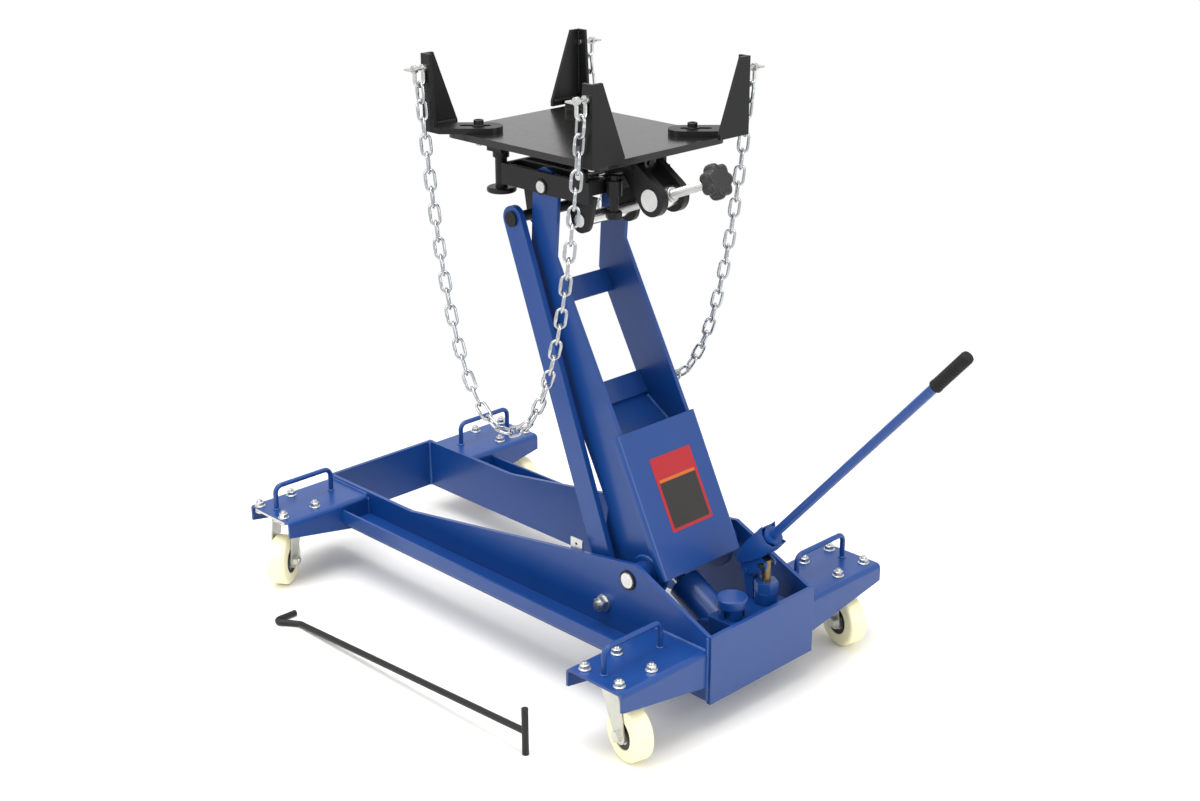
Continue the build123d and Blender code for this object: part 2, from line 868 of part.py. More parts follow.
# Levelling link
link_high_station = head_pivot_station + link_dx
link_high_height = head_pivot_height + link_dz
link_outer = link_inner + link_thickness

with BuildPart() as link_bar:
    with BuildSketch(side_plane(link_outer - side_gap)):
        for point in ((link_low_station, link_low_height), (link_high_station, link_high_height)):
            with Locations(point):
                Circle(link_width / 2)
        make_hull()
        with Locations((link_low_station, link_low_height)):
            Circle(link_bolt_diameter / 2 + running_gap, mode=Mode.SUBTRACT)
        with Locations((link_high_station, link_high_height)):
            Circle(link_shaft_diameter / 2 + running_gap, mode=Mode.SUBTRACT)
    extrude(amount=link_thickness - 2 * side_gap)

link_bolt_tip = rail_outer + link_nut_height + link_stud_proud
with BuildPart() as link_bolt_body:
    tip_plane = side_plane(link_bolt_tip, link_low_station, link_low_height)
    bar(tip_plane, link_bolt_diameter, link_bolt_tip - link_inner)
    hex_bar(
        side_plane(link_inner, link_low_station, link_low_height),
        link_bolt_head_size,
        link_bolt_head_height,
    )
with BuildPart() as link_nut:
    nut_face = side_plane(rail_outer + link_nut_height, link_low_station, link_low_height)
    flange_face = side_plane(rail_outer + link_nut_flange_height, link_low_station, link_low_height)
    hex_bar(nut_face, link_bolt_head_size, link_nut_height)
    bar(flange_face, link_nut_flange, link_nut_flange_height)
    bar(nut_face, link_bolt_diameter + 2 * fit_gap, link_nut_height, Mode.SUBTRACT)
with BuildPart() as link_spacer:
    spacer_face = side_plane(rail_inner, link_low_station, link_low_height)
    bar(spacer_face, link_spacer_diameter, rail_inner - link_outer)
    bar(spacer_face, link_bolt_diameter + 2 * fit_gap, rail_inner - link_outer, Mode.SUBTRACT)
link_bolt = together(link_bolt_body.part, link_nut.part, link_spacer.part)

# Head yoke: a welded box with two inner lug plates
with BuildPart() as yoke_frame:
    for left in (yoke_outer, -yoke_inner):
        with BuildSketch(side_plane(left)):
            Polygon(
                (yoke_rear_station, yoke_bottom),
                (yoke_front_station, yoke_bottom),
                (yoke_front_station, yoke_top),
                (yoke_rear_station, yoke_top),
                align=None,
            )
            with Locations((pitch_station, pitch_height)):
                Circle(pitch_ear_radius)
            with Locations((pitch_station, (yoke_top + pitch_height) / 2)):
                Rectangle(2 * pitch_ear_radius, pitch_height - yoke_top)
        extrude(amount=yoke_plate)
    rear_plate_front = yoke_rear_station + yoke_plate
    slab(yoke_rear_station, rear_plate_front, -yoke_inner, yoke_inner, yoke_rear_plate_bottom, yoke_top)
    front_plate_rear = yoke_front_station - yoke_plate
    slab(front_plate_rear, yoke_front_station, -yoke_inner, yoke_inner, yoke_bottom, yoke_top)
    for left in (lug_plate_outer, lug_plate_thickness - lug_plate_outer):
        with BuildSketch(side_plane(left)):
            Polygon(
                (rear_plate_front, yoke_rear_plate_bottom),
                (lower_trunnion_station, yoke_bottom),
                (front_plate_rear, yoke_bottom),
                (front_plate_rear, yoke_top),
                (rear_plate_front, yoke_top),
                align=None,
            )
        with BuildSketch(side_plane(left)):
            with Locations((lower_trunnion_station, lower_trunnion_height)):
                Circle(lower_lug_radius)
            with Locations((lower_trunnion_station, yoke_bottom)):
                Rectangle(3 * lower_lug_radius, 2)
            make_hull()
        with BuildSketch(side_plane(left)):
            with Locations((link_high_station, link_high_height)):
                Circle(link_lug_radius)
            with Locations((link_high_station, yoke_bottom)):
                Rectangle(3 * link_lug_radius, 2)
            make_hull()
        extrude(amount=lug_plate_thickness)
    boss_length = yoke_top - stop_boss_bottom
    stop_seat = level_plane(stop_boss_bottom, stop_bolt_station, stop_bolt_offset)
    bar(stop_seat, stop_boss_diameter, boss_length)
    bar(stop_seat, stop_bolt_diameter + 2 * fit_gap, boss_length, Mode.SUBTRACT)
    across = 2 * yoke_outer
    head_bore = side_plane(yoke_outer, head_pivot_station, head_pivot_height)
    bar(head_bore, head_pin_diameter + 2 * fit_gap, across, Mode.SUBTRACT)
    pitch_bore = side_plane(yoke_outer, pitch_station, pitch_height)
    bar(pitch_bore, pitch_pin_diameter + 2 * fit_gap, across, Mode.SUBTRACT)
    trunnion_bore = side_plane(lug_plate_outer, lower_trunnion_station, lower_trunnion_height)
    bar(trunnion_bore, lower_trunnion_diameter + 2 * running_gap, 2 * lug_plate_outer, Mode.SUBTRACT)
    link_bore = side_plane(lug_plate_outer, link_high_station, link_high_height)
    bar(link_bore, link_shaft_diameter + 2 * fit_gap, 2 * lug_plate_outer, Mode.SUBTRACT)

head_pin_half = yoke_outer + head_pin_proud
with BuildPart() as head_pin_shaft:
    bar(side_plane(head_pin_half, head_pivot_station, head_pivot_height), head_pin_diameter, 2 * head_pin_half)
with BuildPart() as head_collar:
    collar_face = side_plane(yoke_outer + head_collar_height, head_pivot_station, head_pivot_height)
    bar(collar_face, head_collar_diameter, head_collar_height)
    bar(collar_face, head_pin_diameter + 2 * fit_gap, head_collar_height, Mode.SUBTRACT)

with BuildPart() as link_shaft:
    shaft_end = side_plane(link_outer, link_high_station, link_high_height)
    bar(shaft_end, link_shaft_diameter, link_outer + lug_plate_outer + trunnion_proud)
    cap_face = side_plane(link_outer + link_cap_height, link_high_station, link_high_height)
    bar(cap_face, link_cap_diameter, link_cap_height)
with BuildPart() as stop_bolt:
    head_face = level_plane(stop_bolt_bottom, stop_bolt_station, stop_bolt_offset)
    hex_bar(head_face, stop_bolt_head_size, stop_bolt_head_height)
    bar(head_face, stop_bolt_diameter, stop_bolt_top - stop_bolt_bottom)
head_bolts = together(link_shaft.part, stop_bolt.part)

# Tilt frame: a beam under the saddle that pitches on the yoke
upper_lug_outer = upper_lug_inner + upper_lug_thickness
with BuildPart() as tilt_frame:
    slab(
        tilt_beam_rear,
        tilt_beam_front,
        -tilt_beam_half,
        tilt_beam_half,
        tilt_beam_bottom,
        tilt_beam_top,
    )
    barrel_face = side_plane(tilt_beam_half, pitch_station, pitch_height)
    bar(barrel_face, pitch_barrel_diameter, 2 * tilt_beam_half)
    for left in (upper_lug_outer, -upper_lug_inner):
        with BuildSketch(side_plane(left)):
            with Locations((upper_trunnion_station, upper_trunnion_height)):
                Circle(upper_lug_radius)
            root_height = tilt_beam_top - tilt_beam_bottom
            with Locations((tilt_beam_rear + upper_lug_root / 2, tilt_beam_bottom + root_height / 2)):
                Rectangle(upper_lug_root, root_height)
            make_hull()
        extrude(amount=upper_lug_thickness)
    arm_left = roll_screw_offset + roll_boss_diameter / 2
    slab(roll_arm_rear, tilt_beam_front, 0, arm_left, roll_arm_bottom, roll_arm_top)
    boss_face = level_plane(roll_boss_bottom, roll_screw_station, roll_screw_offset)
    boss_height = roll_arm_top - roll_boss_bottom
    bar(boss_face, roll_boss_diameter, boss_height)
    bar(boss_face, roll_screw_diameter + 2 * running_gap, boss_height, Mode.SUBTRACT)
    bar(barrel_face, pitch_pin_diameter + 2 * running_gap, 2 * tilt_beam_half, Mode.SUBTRACT)
    upper_bore = side_plane(upper_lug_outer, upper_trunnion_station, upper_trunnion_height)
    upper_hole = upper_trunnion_diameter + 2 * running_gap
    bar(upper_bore, upper_hole, 2 * upper_lug_outer, Mode.SUBTRACT)
    beam_bore = cross_plane(tilt_beam_rear, 0, roll_pin_height)
    bar(beam_bore, roll_pin_diameter + 2 * fit_gap, tilt_beam_front - tilt_beam_rear, Mode.SUBTRACT)

pitch_pin_half = yoke_outer + trunnion_proud
with BuildPart() as pitch_pin:
    bar(side_plane(pitch_pin_half, pitch_station, pitch_height), pitch_pin_diameter, 2 * pitch_pin_half)
head_pins = together(
    head_pin_shaft.part,
    head_collar.part,
    mirrored(head_collar.part),
    pitch_pin.part,
)
roll_pin_reach = side_gap + roll_lug_thickness + roll_pin_proud
with BuildPart() as roll_pin:
    pin_length = tilt_beam_front - tilt_beam_rear + 2 * roll_pin_reach
    bar(cross_plane(tilt_beam_rear - roll_pin_reach, 0, roll_pin_height), roll_pin_diameter, pin_length)

# Pitch screw between the two trunnions
screw_dx = upper_trunnion_station - lower_trunnion_station
screw_dz = upper_trunnion_height - lower_trunnion_height
screw_span = (screw_dx**2 + screw_dz**2) ** 0.5
screw_run = screw_dx / screw_span
screw_rise = screw_dz / screw_span


def screw_plane(distance):
    """Plane square to the pitch screw, at a distance from its upper trunnion."""
    station = upper_trunnion_station + distance * screw_run
    height = upper_trunnion_height + distance * screw_rise
    return axis_plane(station, height, screw_run, screw_rise)


upper_shaft_half = upper_lug_outer + trunnion_proud
with BuildPart() as trunnion_upper:
    bar(
        side_plane(upper_shaft_half, upper_trunnion_station, upper_trunnion_height),
        upper_trunnion_diameter,
        2 * upper_shaft_half,
    )
    bar(
        screw_plane(-upper_trunnion_diameter),
        screw_diameter + 2 * running_gap,
        2 * upper_trunnion_diameter,
        Mode.SUBTRACT,
    )

lower_shaft_half = lug_plate_outer + trunnion_proud
with BuildPart() as trunnion_lower:
    bar(
        side_plane(lower_shaft_half, lower_trunnion_station, lower_trunnion_height),
        lower_trunnion_diameter,
        2 * lower_shaft_half,
    )
    bar(
        screw_plane(-screw_span - lower_trunnion_diameter),
        screw_diameter + 2 * screw_nut_gap,
        2 * lower_trunnion_diameter,
        Mode.SUBTRACT,
    )

collar_clear = upper_trunnion_diameter / 2 + side_gap
with BuildPart() as pitch_screw:
    screw_start = -screw_span - screw_past_nut
    bar(screw_plane(screw_start), screw_diameter, knob_distance + knob_thickness / 2 - screw_start)
    bar(screw_plane(collar_clear), screw_collar_diameter, screw_collar_height)
    bar(screw_plane(-collar_clear - screw_collar_height), screw_collar_diameter, screw_collar_height)

with BuildPart() as star_knob:
    with BuildSketch(screw_plane(knob_distance - knob_thickness / 2)):
        Circle(knob_diameter / 2 - knob_lobe_radius)
        with PolarLocations(knob_diameter / 2 - knob_lobe_radius, knob_lobes):
            Circle(knob_lobe_radius)
        Circle(screw_diameter / 2 + fit_gap, mode=Mode.SUBTRACT)
    extrude(amount=knob_thickness)

# Roll screw with its handwheel
saddle_contact = saddle_bottom - contact_gap
tip_radius = roll_screw_tip / 2
with BuildPart() as roll_screw:
    wheel_plane = level_plane(roll_wheel_bottom, roll_screw_station, roll_screw_offset)
    bar(wheel_plane, roll_wheel_diameter, roll_wheel_height)
    fillet(roll_screw.edges().filter_by(GeomType.CIRCLE), roll_wheel_edge)
    stem_top = saddle_contact - roll_screw_tip
    bar(wheel_plane, roll_screw_diameter, stem_top - roll_wheel_bottom)
    bar(level_plane(stem_top, roll_screw_station, roll_screw_offset), roll_screw_tip, tip_radius)
    with Locations(level_plane(saddle_contact - tip_radius, roll_screw_station, roll_screw_offset)):
        Sphere(tip_radius)

# Saddle plate with the two lugs of the roll pin
bracket_direction = 45.0
bolt_x = bracket_root_x + bracket_bolt_along * cos(radians(bracket_direction))
bolt_y = bracket_root_y + bracket_bolt_along * sin(radians(bracket_direction))

with BuildPart() as saddle_plate:
    with BuildSketch(level_plane(saddle_bottom, saddle_station)):
        RectangleRounded(saddle_length, saddle_width, saddle_corner)
        with GridLocations(2 * bolt_x, 2 * bolt_y, 2, 2):
            Circle(bracket_bolt / 2 + fit_gap, mode=Mode.SUBTRACT)
    extrude(amount=saddle_thickness)
    lug_rears = (tilt_beam_rear - side_gap - roll_lug_thickness, tilt_beam_front + side_gap)
    for lug_rear in lug_rears:
        with BuildSketch(cross_plane(lug_rear)):
            with Locations((0, roll_pin_height)):
                Circle(roll_lug_radius)
            with Locations((0, (roll_pin_height + saddle_bottom) / 2)):
                Rectangle(2 * roll_lug_radius, saddle_bottom - roll_pin_height)
            with Locations((0, roll_pin_height)):
                Circle(roll_pin_diameter / 2 + running_gap, mode=Mode.SUBTRACT)
        extrude(amount=roll_lug_thickness)

# Corner brackets: a slotted foot on the saddle and an upright angle with tapered flanges
post_foot = saddle_top
post_top = saddle_top + post_height


def front_left_bracket():
    """Bracket of the front left corner."""
    corner_plane = level_plane(saddle_top, saddle_station)
    with BuildPart() as bracket:
        with BuildSketch(corner_plane):
            with Locations(Location((bracket_root_x, bracket_root_y, 0), (0, 0, bracket_direction))):
                Circle(bracket_width / 2)
                Rectangle(bracket_spine_x, bracket_width, align=(Align.MIN, Align.CENTER))
            with Locations((bracket_spine_x, bracket_spine_y)):
                Rectangle(
                    2 * bracket_spine_x,
                    2 * bracket_spine_y,
                    align=(Align.MAX, Align.MAX),
                    mode=Mode.INTERSECT,
                )
            with Locations(Location((bracket_root_x, bracket_root_y, 0), (0, 0, bracket_direction))):
                with Locations((bracket_slot_start + bracket_slot_length / 2, 0)):
                    SlotOverall(bracket_slot_length, bracket_slot_width, mode=Mode.SUBTRACT)
        extrude(amount=bracket_thickness)
        with BuildSketch(cross_plane(saddle_station + bracket_spine_x - post_sheet)):
            Polygon(
                (bracket_spine_y, post_foot),
                (bracket_spine_y, post_top),
                (bracket_spine_y - post_wide_top, post_top),
                (bracket_spine_y - post_wide_foot, post_foot + bracket_thickness),
                (bracket_spine_y - post_wide_foot, post_foot),
                align=None,
            )
        extrude(amount=post_sheet)
        with BuildSketch(side_plane(bracket_spine_y, saddle_station)):
            Polygon(
                (bracket_spine_x, post_foot),
                (bracket_spine_x, post_top),
                (bracket_spine_x - post_narrow_top, post_top),
                (bracket_spine_x - post_narrow_foot, post_foot + bracket_thickness),
                (bracket_spine_x - post_narrow_foot, post_foot),
                align=None,
            )
        extrude(amount=post_sheet)
        pin_hole = shackle_pin + 2 * fit_gap
        pin_seat = side_plane(bracket_spine_y, saddle_station + shackle_x, shackle_height)
        bar(pin_seat, pin_hole, post_sheet, Mode.SUBTRACT)
    return bracket.part


# A shackle hangs outside each post, on a pin through the narrow flange.
shackle_x = bracket_spine_x - post_narrow_top / 2
shackle_height = post_top - post_pin_drop
bow_radius = (shackle_inside + shackle_wire) / 2
shackle_y = bracket_spine_y + side_gap + shackle_wire / 2 + bow_radius
bow_bottom = shackle_height - shackle_depth


def front_left_shackle():
    """Bent wire bow with an eye at each end."""
    shackle_station = saddle_station + shackle_x
    with BuildPart() as bow:
        with BuildLine(cross_plane(shackle_station, shackle_y)):
            Line((-bow_radius, shackle_height), (-bow_radius, bow_bottom + bow_radius))
            ThreePointArc(
                (-bow_radius, bow_bottom + bow_radius),
                (0, bow_bottom),
                (bow_radius, bow_bottom + bow_radius),
            )
            Line((bow_radius, bow_bottom + bow_radius), (bow_radius, shackle_height))
        with BuildSketch(level_plane(shackle_height, shackle_station, shackle_y - bow_radius)):
            Circle(shackle_wire / 2)
        sweep()
        for left in (bow_radius, -bow_radius):
            eye_face = side_plane(shackle_y + left + shackle_wire / 2, shackle_station, shackle_height)
            bar(eye_face, shackle_eye, shackle_wire)
        pin_face = side_plane(shackle_y + 2 * bow_radius, shackle_station, shackle_height)
        bar(pin_face, shackle_pin + 2 * fit_gap, 4 * bow_radius, Mode.SUBTRACT)
    return bow.part


def front_left_shackle_pin():
    """Pin with a round head inside and a flat wing outside."""
    shackle_station = saddle_station + shackle_x
    eye_outer = bow_radius + shackle_wire / 2
    with BuildPart() as pin:
        wing_left = shackle_y + eye_outer + wing_width
        shank_face = side_plane(shackle_y + eye_outer, shackle_station, shackle_height)
        post_inner = bracket_spine_y - post_sheet
        bar(shank_face, shackle_pin, shackle_y + eye_outer - post_inner)
        head_side = side_plane(post_inner, shackle_station, shackle_height)
        bar(head_side, shackle_head, wing_thickness)
        slab(
            shackle_station - wing_length / 2,
            shackle_station + wing_length / 2,
            shackle_y + eye_outer,
            wing_left,
            shackle_height - wing_thickness / 2,
            shackle_height + wing_thickness / 2,
        )
    return pin.part


def four_corners(shape):
    """A front left piece and its reflections: front left, front right, rear left, rear right."""
    rear = mirror(shape, about=cross_plane(saddle_station))
    return [shape, mirrored(shape), rear, mirrored(rear)]


brackets = four_corners(front_left_bracket())
shackles = together(*four_corners(front_left_shackle()), *four_corners(front_left_shackle_pin()))

with BuildPart() as bracket_bolts_part:
    bolt_points = GridLocations(2 * bolt_x, 2 * bolt_y, 2, 2).locations
    bracket_top = saddle_top + bracket_thickness
    for point in bolt_points:
        x = saddle_station + point.position.X
        y = point.position.Y
        nut_bottom = saddle_bottom - bracket_nut_height
        hex_bar(level_plane(nut_bottom, x, y), bracket_nut_size, bracket_nut_height)
        bar(level_plane(nut_bottom, x, y), bracket_bolt, bracket_top - nut_bottom)
        bar(level_plane(bracket_top, x, y), bracket_bolt_head, bracket_bolt_head_height)
bracket_bolts = together(bracket_bolts_part.part)

# Chains: links threaded on a catenary between the bows of a front and a rear shackle
link_reach = (chain_link_length - chain_wire) / 2
link_arc = (chain_link_width - chain_wire) / 2
chain_pitch_limit = chain_link_length - 2 * chain_wire - chain_gap
half_span = shackle_x
hook_drop = (chain_wire + shackle_wire) / 2 + chain_gap


def catenary_scale(span, sag):
    """Parameter of the catenary with this half span and sag, by bisection."""
    low, high = span / 20, span * 20
    for _ in range(80):
        middle = (low + high) / 2
        if middle * (cosh(span / middle) - 1) > sag:
            low = middle
        else:
            high = middle
    return middle


def chain_joints():
    """Stations from the saddle's middle and heights where the links meet."""
    scale = catenary_scale(half_span, chain_sag)
    half_length = scale * sinh(half_span / scale)
    count = int(2 * half_length / chain_pitch_limit) + 1
    count += 1 - count % 2
    step = 2 * half_length / count
    top = bow_bottom + hook_drop - (link_reach - step / 2)
    points = []
    for index in range(count + 1):
        run = scale * asinh((index * step - half_length) / scale)
        rise = scale * (cosh(run / scale) - 1)
        points.append((run, top - chain_sag + rise))
    return points


with BuildPart() as chain_link:
    straight = link_reach - link_arc
    with BuildLine():
        Line((-straight, link_arc), (straight, link_arc))
        ThreePointArc((straight, link_arc), (link_reach, 0), (straight, -link_arc))
        Line((straight, -link_arc), (-straight, -link_arc))
        ThreePointArc((-straight, -link_arc), (-link_reach, 0), (-straight, link_arc))
    with BuildSketch(Plane(origin=(-straight, link_arc, 0), x_dir=(0, 1, 0), z_dir=(1, 0, 0))):
        Circle(chain_wire / 2)
    sweep()


def chain(offset):
    """Links of one chain, turned a quarter from each to the next."""
    joints = chain_joints()
    links = []
    for index in range(len(joints) - 1):
        start, end = joints[index], joints[index + 1]
        centre_x = datum_x + saddle_station + (start[0] + end[0]) / 2
        centre = (centre_x, datum_y + offset, (start[1] + end[1]) / 2)
        run, rise = end[0] - start[0], end[1] - start[1]
        normal = (0, 1, 0) if index % 2 == 0 else (-rise, 0, run)
        placing = Plane(origin=centre, x_dir=(run, 0, rise), z_dir=normal)
        links.append(chain_link.part.moved(placing.location))
    return together(*links)


chain_left = chain(shackle_y)
chain_right = mirrored(chain_left)

# Pump block with the valve body and the ears of the ram
block_front = crossbar_thickness + block_length
ear_seat = ram_diameter / 2 + side_gap
with BuildPart() as pump_block:
    slab(crossbar_thickness, block_front, block_right, block_left, bay_floor_top, block_top)
    chamfer(pump_block.edges().filter_by(Axis.Z), block_edge)
    bar(level_plane(block_top, valve_station, valve_offset), valve_body_diameter, valve_body_height)
    for heading in (20, 110):
        with Locations(level_plane(block_top + block_edge, valve_station, valve_offset, heading)):
            Box(
                valve_body_diameter,
                valve_notch,
                valve_body_height,
                align=STANDING,
                mode=Mode.SUBTRACT,
            )
    bar(level_plane(block_top, valve_station, valve_offset), valve_body_diameter * 0.7, valve_body_height)
    for left in (ear_seat + ear_thickness, -ear_seat):
        with BuildSketch(side_plane(left)):
            with Locations((ram_pivot_station, ram_pivot_height)):
                Circle(ear_radius)
            with Locations((block_front, ram_pivot_height)):
                Rectangle(2, 3 * ear_radius)
            make_hull()
        extrude(amount=ear_thickness)
    ear_face = side_plane(ear_seat + ear_thickness, ram_pivot_station, ram_pivot_height)
    ear_span = 2 * (ear_seat + ear_thickness)
    bar(ear_face, trunnion_pin_diameter + 2 * running_gap, ear_span, Mode.SUBTRACT)
    plunger_bottom = plunger_pin_height + plunger_above_pin - plunger_length
    well_bottom = plunger_bottom - plunger_stroke - contact_gap
    well = level_plane(well_bottom, pump_station, pump_offset)
    bar(well, plunger_diameter + 2 * running_gap, block_top - well_bottom, Mode.SUBTRACT)
    valve_top = block_top + valve_body_height
    stem_well = level_plane(valve_top - valve_stem_length - contact_gap, valve_station, valve_offset)
    stem_hole = valve_stem_diameter + 2 * running_gap
    bar(stem_well, stem_hole, valve_stem_length + contact_gap, Mode.SUBTRACT)

gland_top = block_top + pump_barrel_height + gland_height
with BuildPart() as pump_cylinder:
    bar(level_plane(block_top, pump_station, pump_offset), pump_barrel_diameter, pump_barrel_height)
    hex_bar(level_plane(block_top + pump_barrel_height, pump_station, pump_offset), gland_size, gland_height)
    bar(
        level_plane(block_top, pump_station, pump_offset),
        plunger_diameter + 2 * running_gap,
        gland_top - block_top,
        Mode.SUBTRACT,
    )

ear_inner = fulcrum_half_width + side_gap
ear_outer = ear_inner + socket_ear_thickness
with BuildPart() as plunger:
    bar(level_plane(plunger_bottom, pump_station, pump_offset), plunger_diameter, plunger_length)
    cross_hole = side_plane(pump_offset + plunger_diameter, pump_station, plunger_pin_height)
    bar(cross_hole, plunger_pin_diameter + 2 * fit_gap, 2 * plunger_diameter, Mode.SUBTRACT)
with BuildPart() as plunger_pin:
    pin_end = ear_outer + fulcrum_pin_proud
    plunger_pin_face = side_plane(pump_offset + pin_end, pump_station, plunger_pin_height)
    bar(plunger_pin_face, plunger_pin_diameter, 2 * pin_end)
pump_plunger = together(plunger.part, plunger_pin.part)

with BuildPart() as release_cap:
    cap_plane = level_plane(valve_top + contact_gap, valve_station, valve_offset)
    bar(cap_plane, valve_cap_diameter, valve_cap_height - contact_gap)
    fillet(release_cap.edges().filter_by(GeomType.CIRCLE).sort_by(Axis.Z)[-1:], valve_cap_edge)
    stem_bottom = level_plane(valve_top - valve_stem_length, valve_station, valve_offset)
    bar(stem_bottom, valve_stem_diameter, valve_stem_length + contact_gap)

# Fulcrum post of the pump handle
with BuildPart() as fulcrum_post:
    with BuildSketch(side_plane(pump_offset + fulcrum_half_width)):
        with Locations((fulcrum_station, fulcrum_height)):
            Circle(fulcrum_radius)
        with Locations((block_front, block_top)):
            Rectangle(fulcrum_foot, 2, align=(Align.MAX, Align.MIN))
        make_hull()
        with Locations((fulcrum_station, fulcrum_height)):
            Circle(fulcrum_pin_diameter / 2 + fit_gap, mode=Mode.SUBTRACT)
    extrude(amount=2 * fulcrum_half_width)
with BuildPart() as fulcrum_pin:
    pin_reach = ear_outer + fulcrum_pin_proud
    fulcrum_face = side_plane(pump_offset + pin_reach, fulcrum_station, fulcrum_height)
    bar(fulcrum_face, fulcrum_pin_diameter, 2 * pin_reach)
fulcrum = together(fulcrum_post.part, fulcrum_pin.part)


def handle_plane(distance):
    """Plane square to the pump handle, at a distance up it from the fulcrum."""
    station = socket_station + distance * handle_back
    height = socket_height + distance * handle_up
    return axis_plane(station, height, handle_back, handle_up, pump_offset)


# The plunger pin runs in a slot of the ears that points at the fulcrum.
slot_dx = pump_station - fulcrum_station
slot_dz = plunger_pin_height - fulcrum_height
slot_radius = (slot_dx**2 + slot_dz**2) ** 0.5
slot_angle = degrees(atan2(slot_dz, slot_dx))
slot_middle = 1 - slot_inward / slot_radius
slot_end = slot_middle + slot_travel / 2 / slot_radius

with BuildPart() as handle_socket:
    for left in (ear_outer, -ear_inner):
        with BuildSketch(side_plane(pump_offset + left)):
            with Locations(
                (fulcrum_station, fulcrum_height),
                (fulcrum_station + slot_dx * slot_end, fulcrum_height + slot_dz * slot_end),
            ):
                Circle(socket_ear_radius)
            with Locations(
                (socket_station, socket_height),
                (socket_station + slot_radius * handle_back, socket_height + slot_radius * handle_up),
            ):
                Circle(1)
            make_hull()
        extrude(amount=socket_ear_thickness)
    bar(handle_plane(socket_start), socket_diameter, socket_length)
    bar(handle_plane(socket_start + socket_length), socket_flare, socket_flare_length)
    bar(
        handle_plane(tube_start),
        tube_diameter + 2 * fit_gap,
        tube_insertion + socket_flare_length,
        Mode.SUBTRACT,
    )
    fulcrum_bore = side_plane(pump_offset + ear_outer, fulcrum_station, fulcrum_height)
    bar(fulcrum_bore, fulcrum_pin_diameter + 2 * running_gap, 2 * ear_outer, Mode.SUBTRACT)
    with BuildSketch(side_plane(pump_offset + ear_outer)):
        middle_x = fulcrum_station + slot_dx * slot_middle
        middle_z = fulcrum_height + slot_dz * slot_middle
        with Locations((middle_x, middle_z)):
            SlotOverall(
                plunger_pin_diameter + slot_travel + 2 * slot_play,
                plunger_pin_diameter + 2 * slot_play,
                rotation=slot_angle,
            )
    extrude(amount=2 * ear_outer, mode=Mode.SUBTRACT)

with BuildPart() as handle_tube:
    bar(handle_plane(tube_start), tube_diameter, tube_length)
    bar(handle_plane(tube_start), tube_diameter - 2 * tube_wall, tube_length, Mode.SUBTRACT)

with BuildPart() as handle_grip:
    grip_start = tube_end + grip_end - grip_length
    bar(handle_plane(grip_start), grip_diameter, grip_length)
    fillet(handle_grip.edges().filter_by(GeomType.CIRCLE), grip_end / 2)
    bar(handle_plane(grip_start), tube_diameter + 2 * fit_gap, grip_length - grip_end, Mode.SUBTRACT)

# Ram between the block and the horn pin of the arm
ram_dx = horn_station - ram_pivot_station
ram_dz = horn_height - ram_pivot_height
ram_span = (ram_dx**2 + ram_dz**2) ** 0.5
ram_run = ram_dx / ram_span
ram_rise = ram_dz / ram_span


def ram_plane(distance):
    """Plane square to the ram, at a distance from its trunnion."""
    station = ram_pivot_station + distance * ram_run
    height = ram_pivot_height + distance * ram_rise
    return axis_plane(station, height, ram_run, ram_rise)


bore_diameter = ram_diameter - 2 * ram_wall
with BuildPart() as ram_cylinder:
    bar(ram_plane(-ram_rear), ram_diameter, ram_rear + ram_front)
    bar(ram_plane(ram_cap - ram_rear), bore_diameter, ram_rear + ram_front - 2 * ram_cap, Mode.SUBTRACT)
    bar(ram_plane(ram_front - ram_cap), ram_rod_diameter + 2 * running_gap, ram_cap, Mode.SUBTRACT)
    stub = ear_seat + ear_thickness - (ram_diameter / 2 - ram_wall / 2)
    for left in (ear_seat + ear_thickness, -(ram_diameter / 2 - ram_wall / 2)):
        bar(side_plane(left, ram_pivot_station, ram_pivot_height), trunnion_pin_diameter, stub)

pad_front = ram_span - horn_pin_diameter / 2 - contact_gap
with BuildPart() as ram_rod:
    bar(ram_plane(piston_start), ram_rod_diameter, pad_front - piston_start)
    bar(ram_plane(piston_start), bore_diameter - 2 * running_gap, piston_length)
    bar(ram_plane(pad_front - pad_thickness), pad_diameter, pad_thickness)

# Loose pull rod: a tee grip at one end and a hook at the other
rod_radius = pull_rod_diameter / 2
with BuildPart() as pull_rod:
    tee_middle = pull_rod_tee_length / 2
    jog_station = pull_rod_tee_station + pull_rod_length
    hook_station = jog_station + pull_rod_jog_run
    tip_station = hook_station + pull_rod_hook_run
    hook_offset = pull_rod_offset + pull_rod_jog
    turn_offset = hook_offset + pull_rod_hook_out
    path_points = [
        (pull_rod_tee_station, pull_rod_offset, tee_middle),
        (jog_station, pull_rod_offset, rod_radius),
        (hook_station, hook_offset, rod_radius),
        (tip_station, turn_offset, rod_radius),
        (tip_station, turn_offset - pull_rod_hook_length, rod_radius),
    ]
    with BuildLine(level_plane(0)) as rod_path:
        FilletPolyline(*path_points, radius=pull_rod_bend)
    first = path_points[0]
    second = path_points[1]
    with BuildSketch(axis_plane(first[0], first[2], second[0] - first[0], second[2] - first[2], first[1])):
        Circle(rod_radius)
    sweep()
    bar(level_plane(0, pull_rod_tee_station, pull_rod_offset), pull_rod_diameter, pull_rod_tee_length)

# Tab on the inner face of the left rail
rail_slope = (peak_height - nose_height) / (bend_station - peak_station)
tab_top = peak_height - (tab_station - peak_station) * rail_slope + tab_above_rail
with BuildPart() as rail_tab:
    tab_rear = tab_station - tab_width / 2
    slab(tab_rear, tab_rear + tab_width, rail_inner - tab_thickness, rail_inner, tab_top - tab_height, tab_top)
    hole_plane = side_plane(rail_inner, tab_station, tab_top - tab_above_rail / 2)
    bar(hole_plane, tab_hole, tab_thickness, Mode.SUBTRACT)

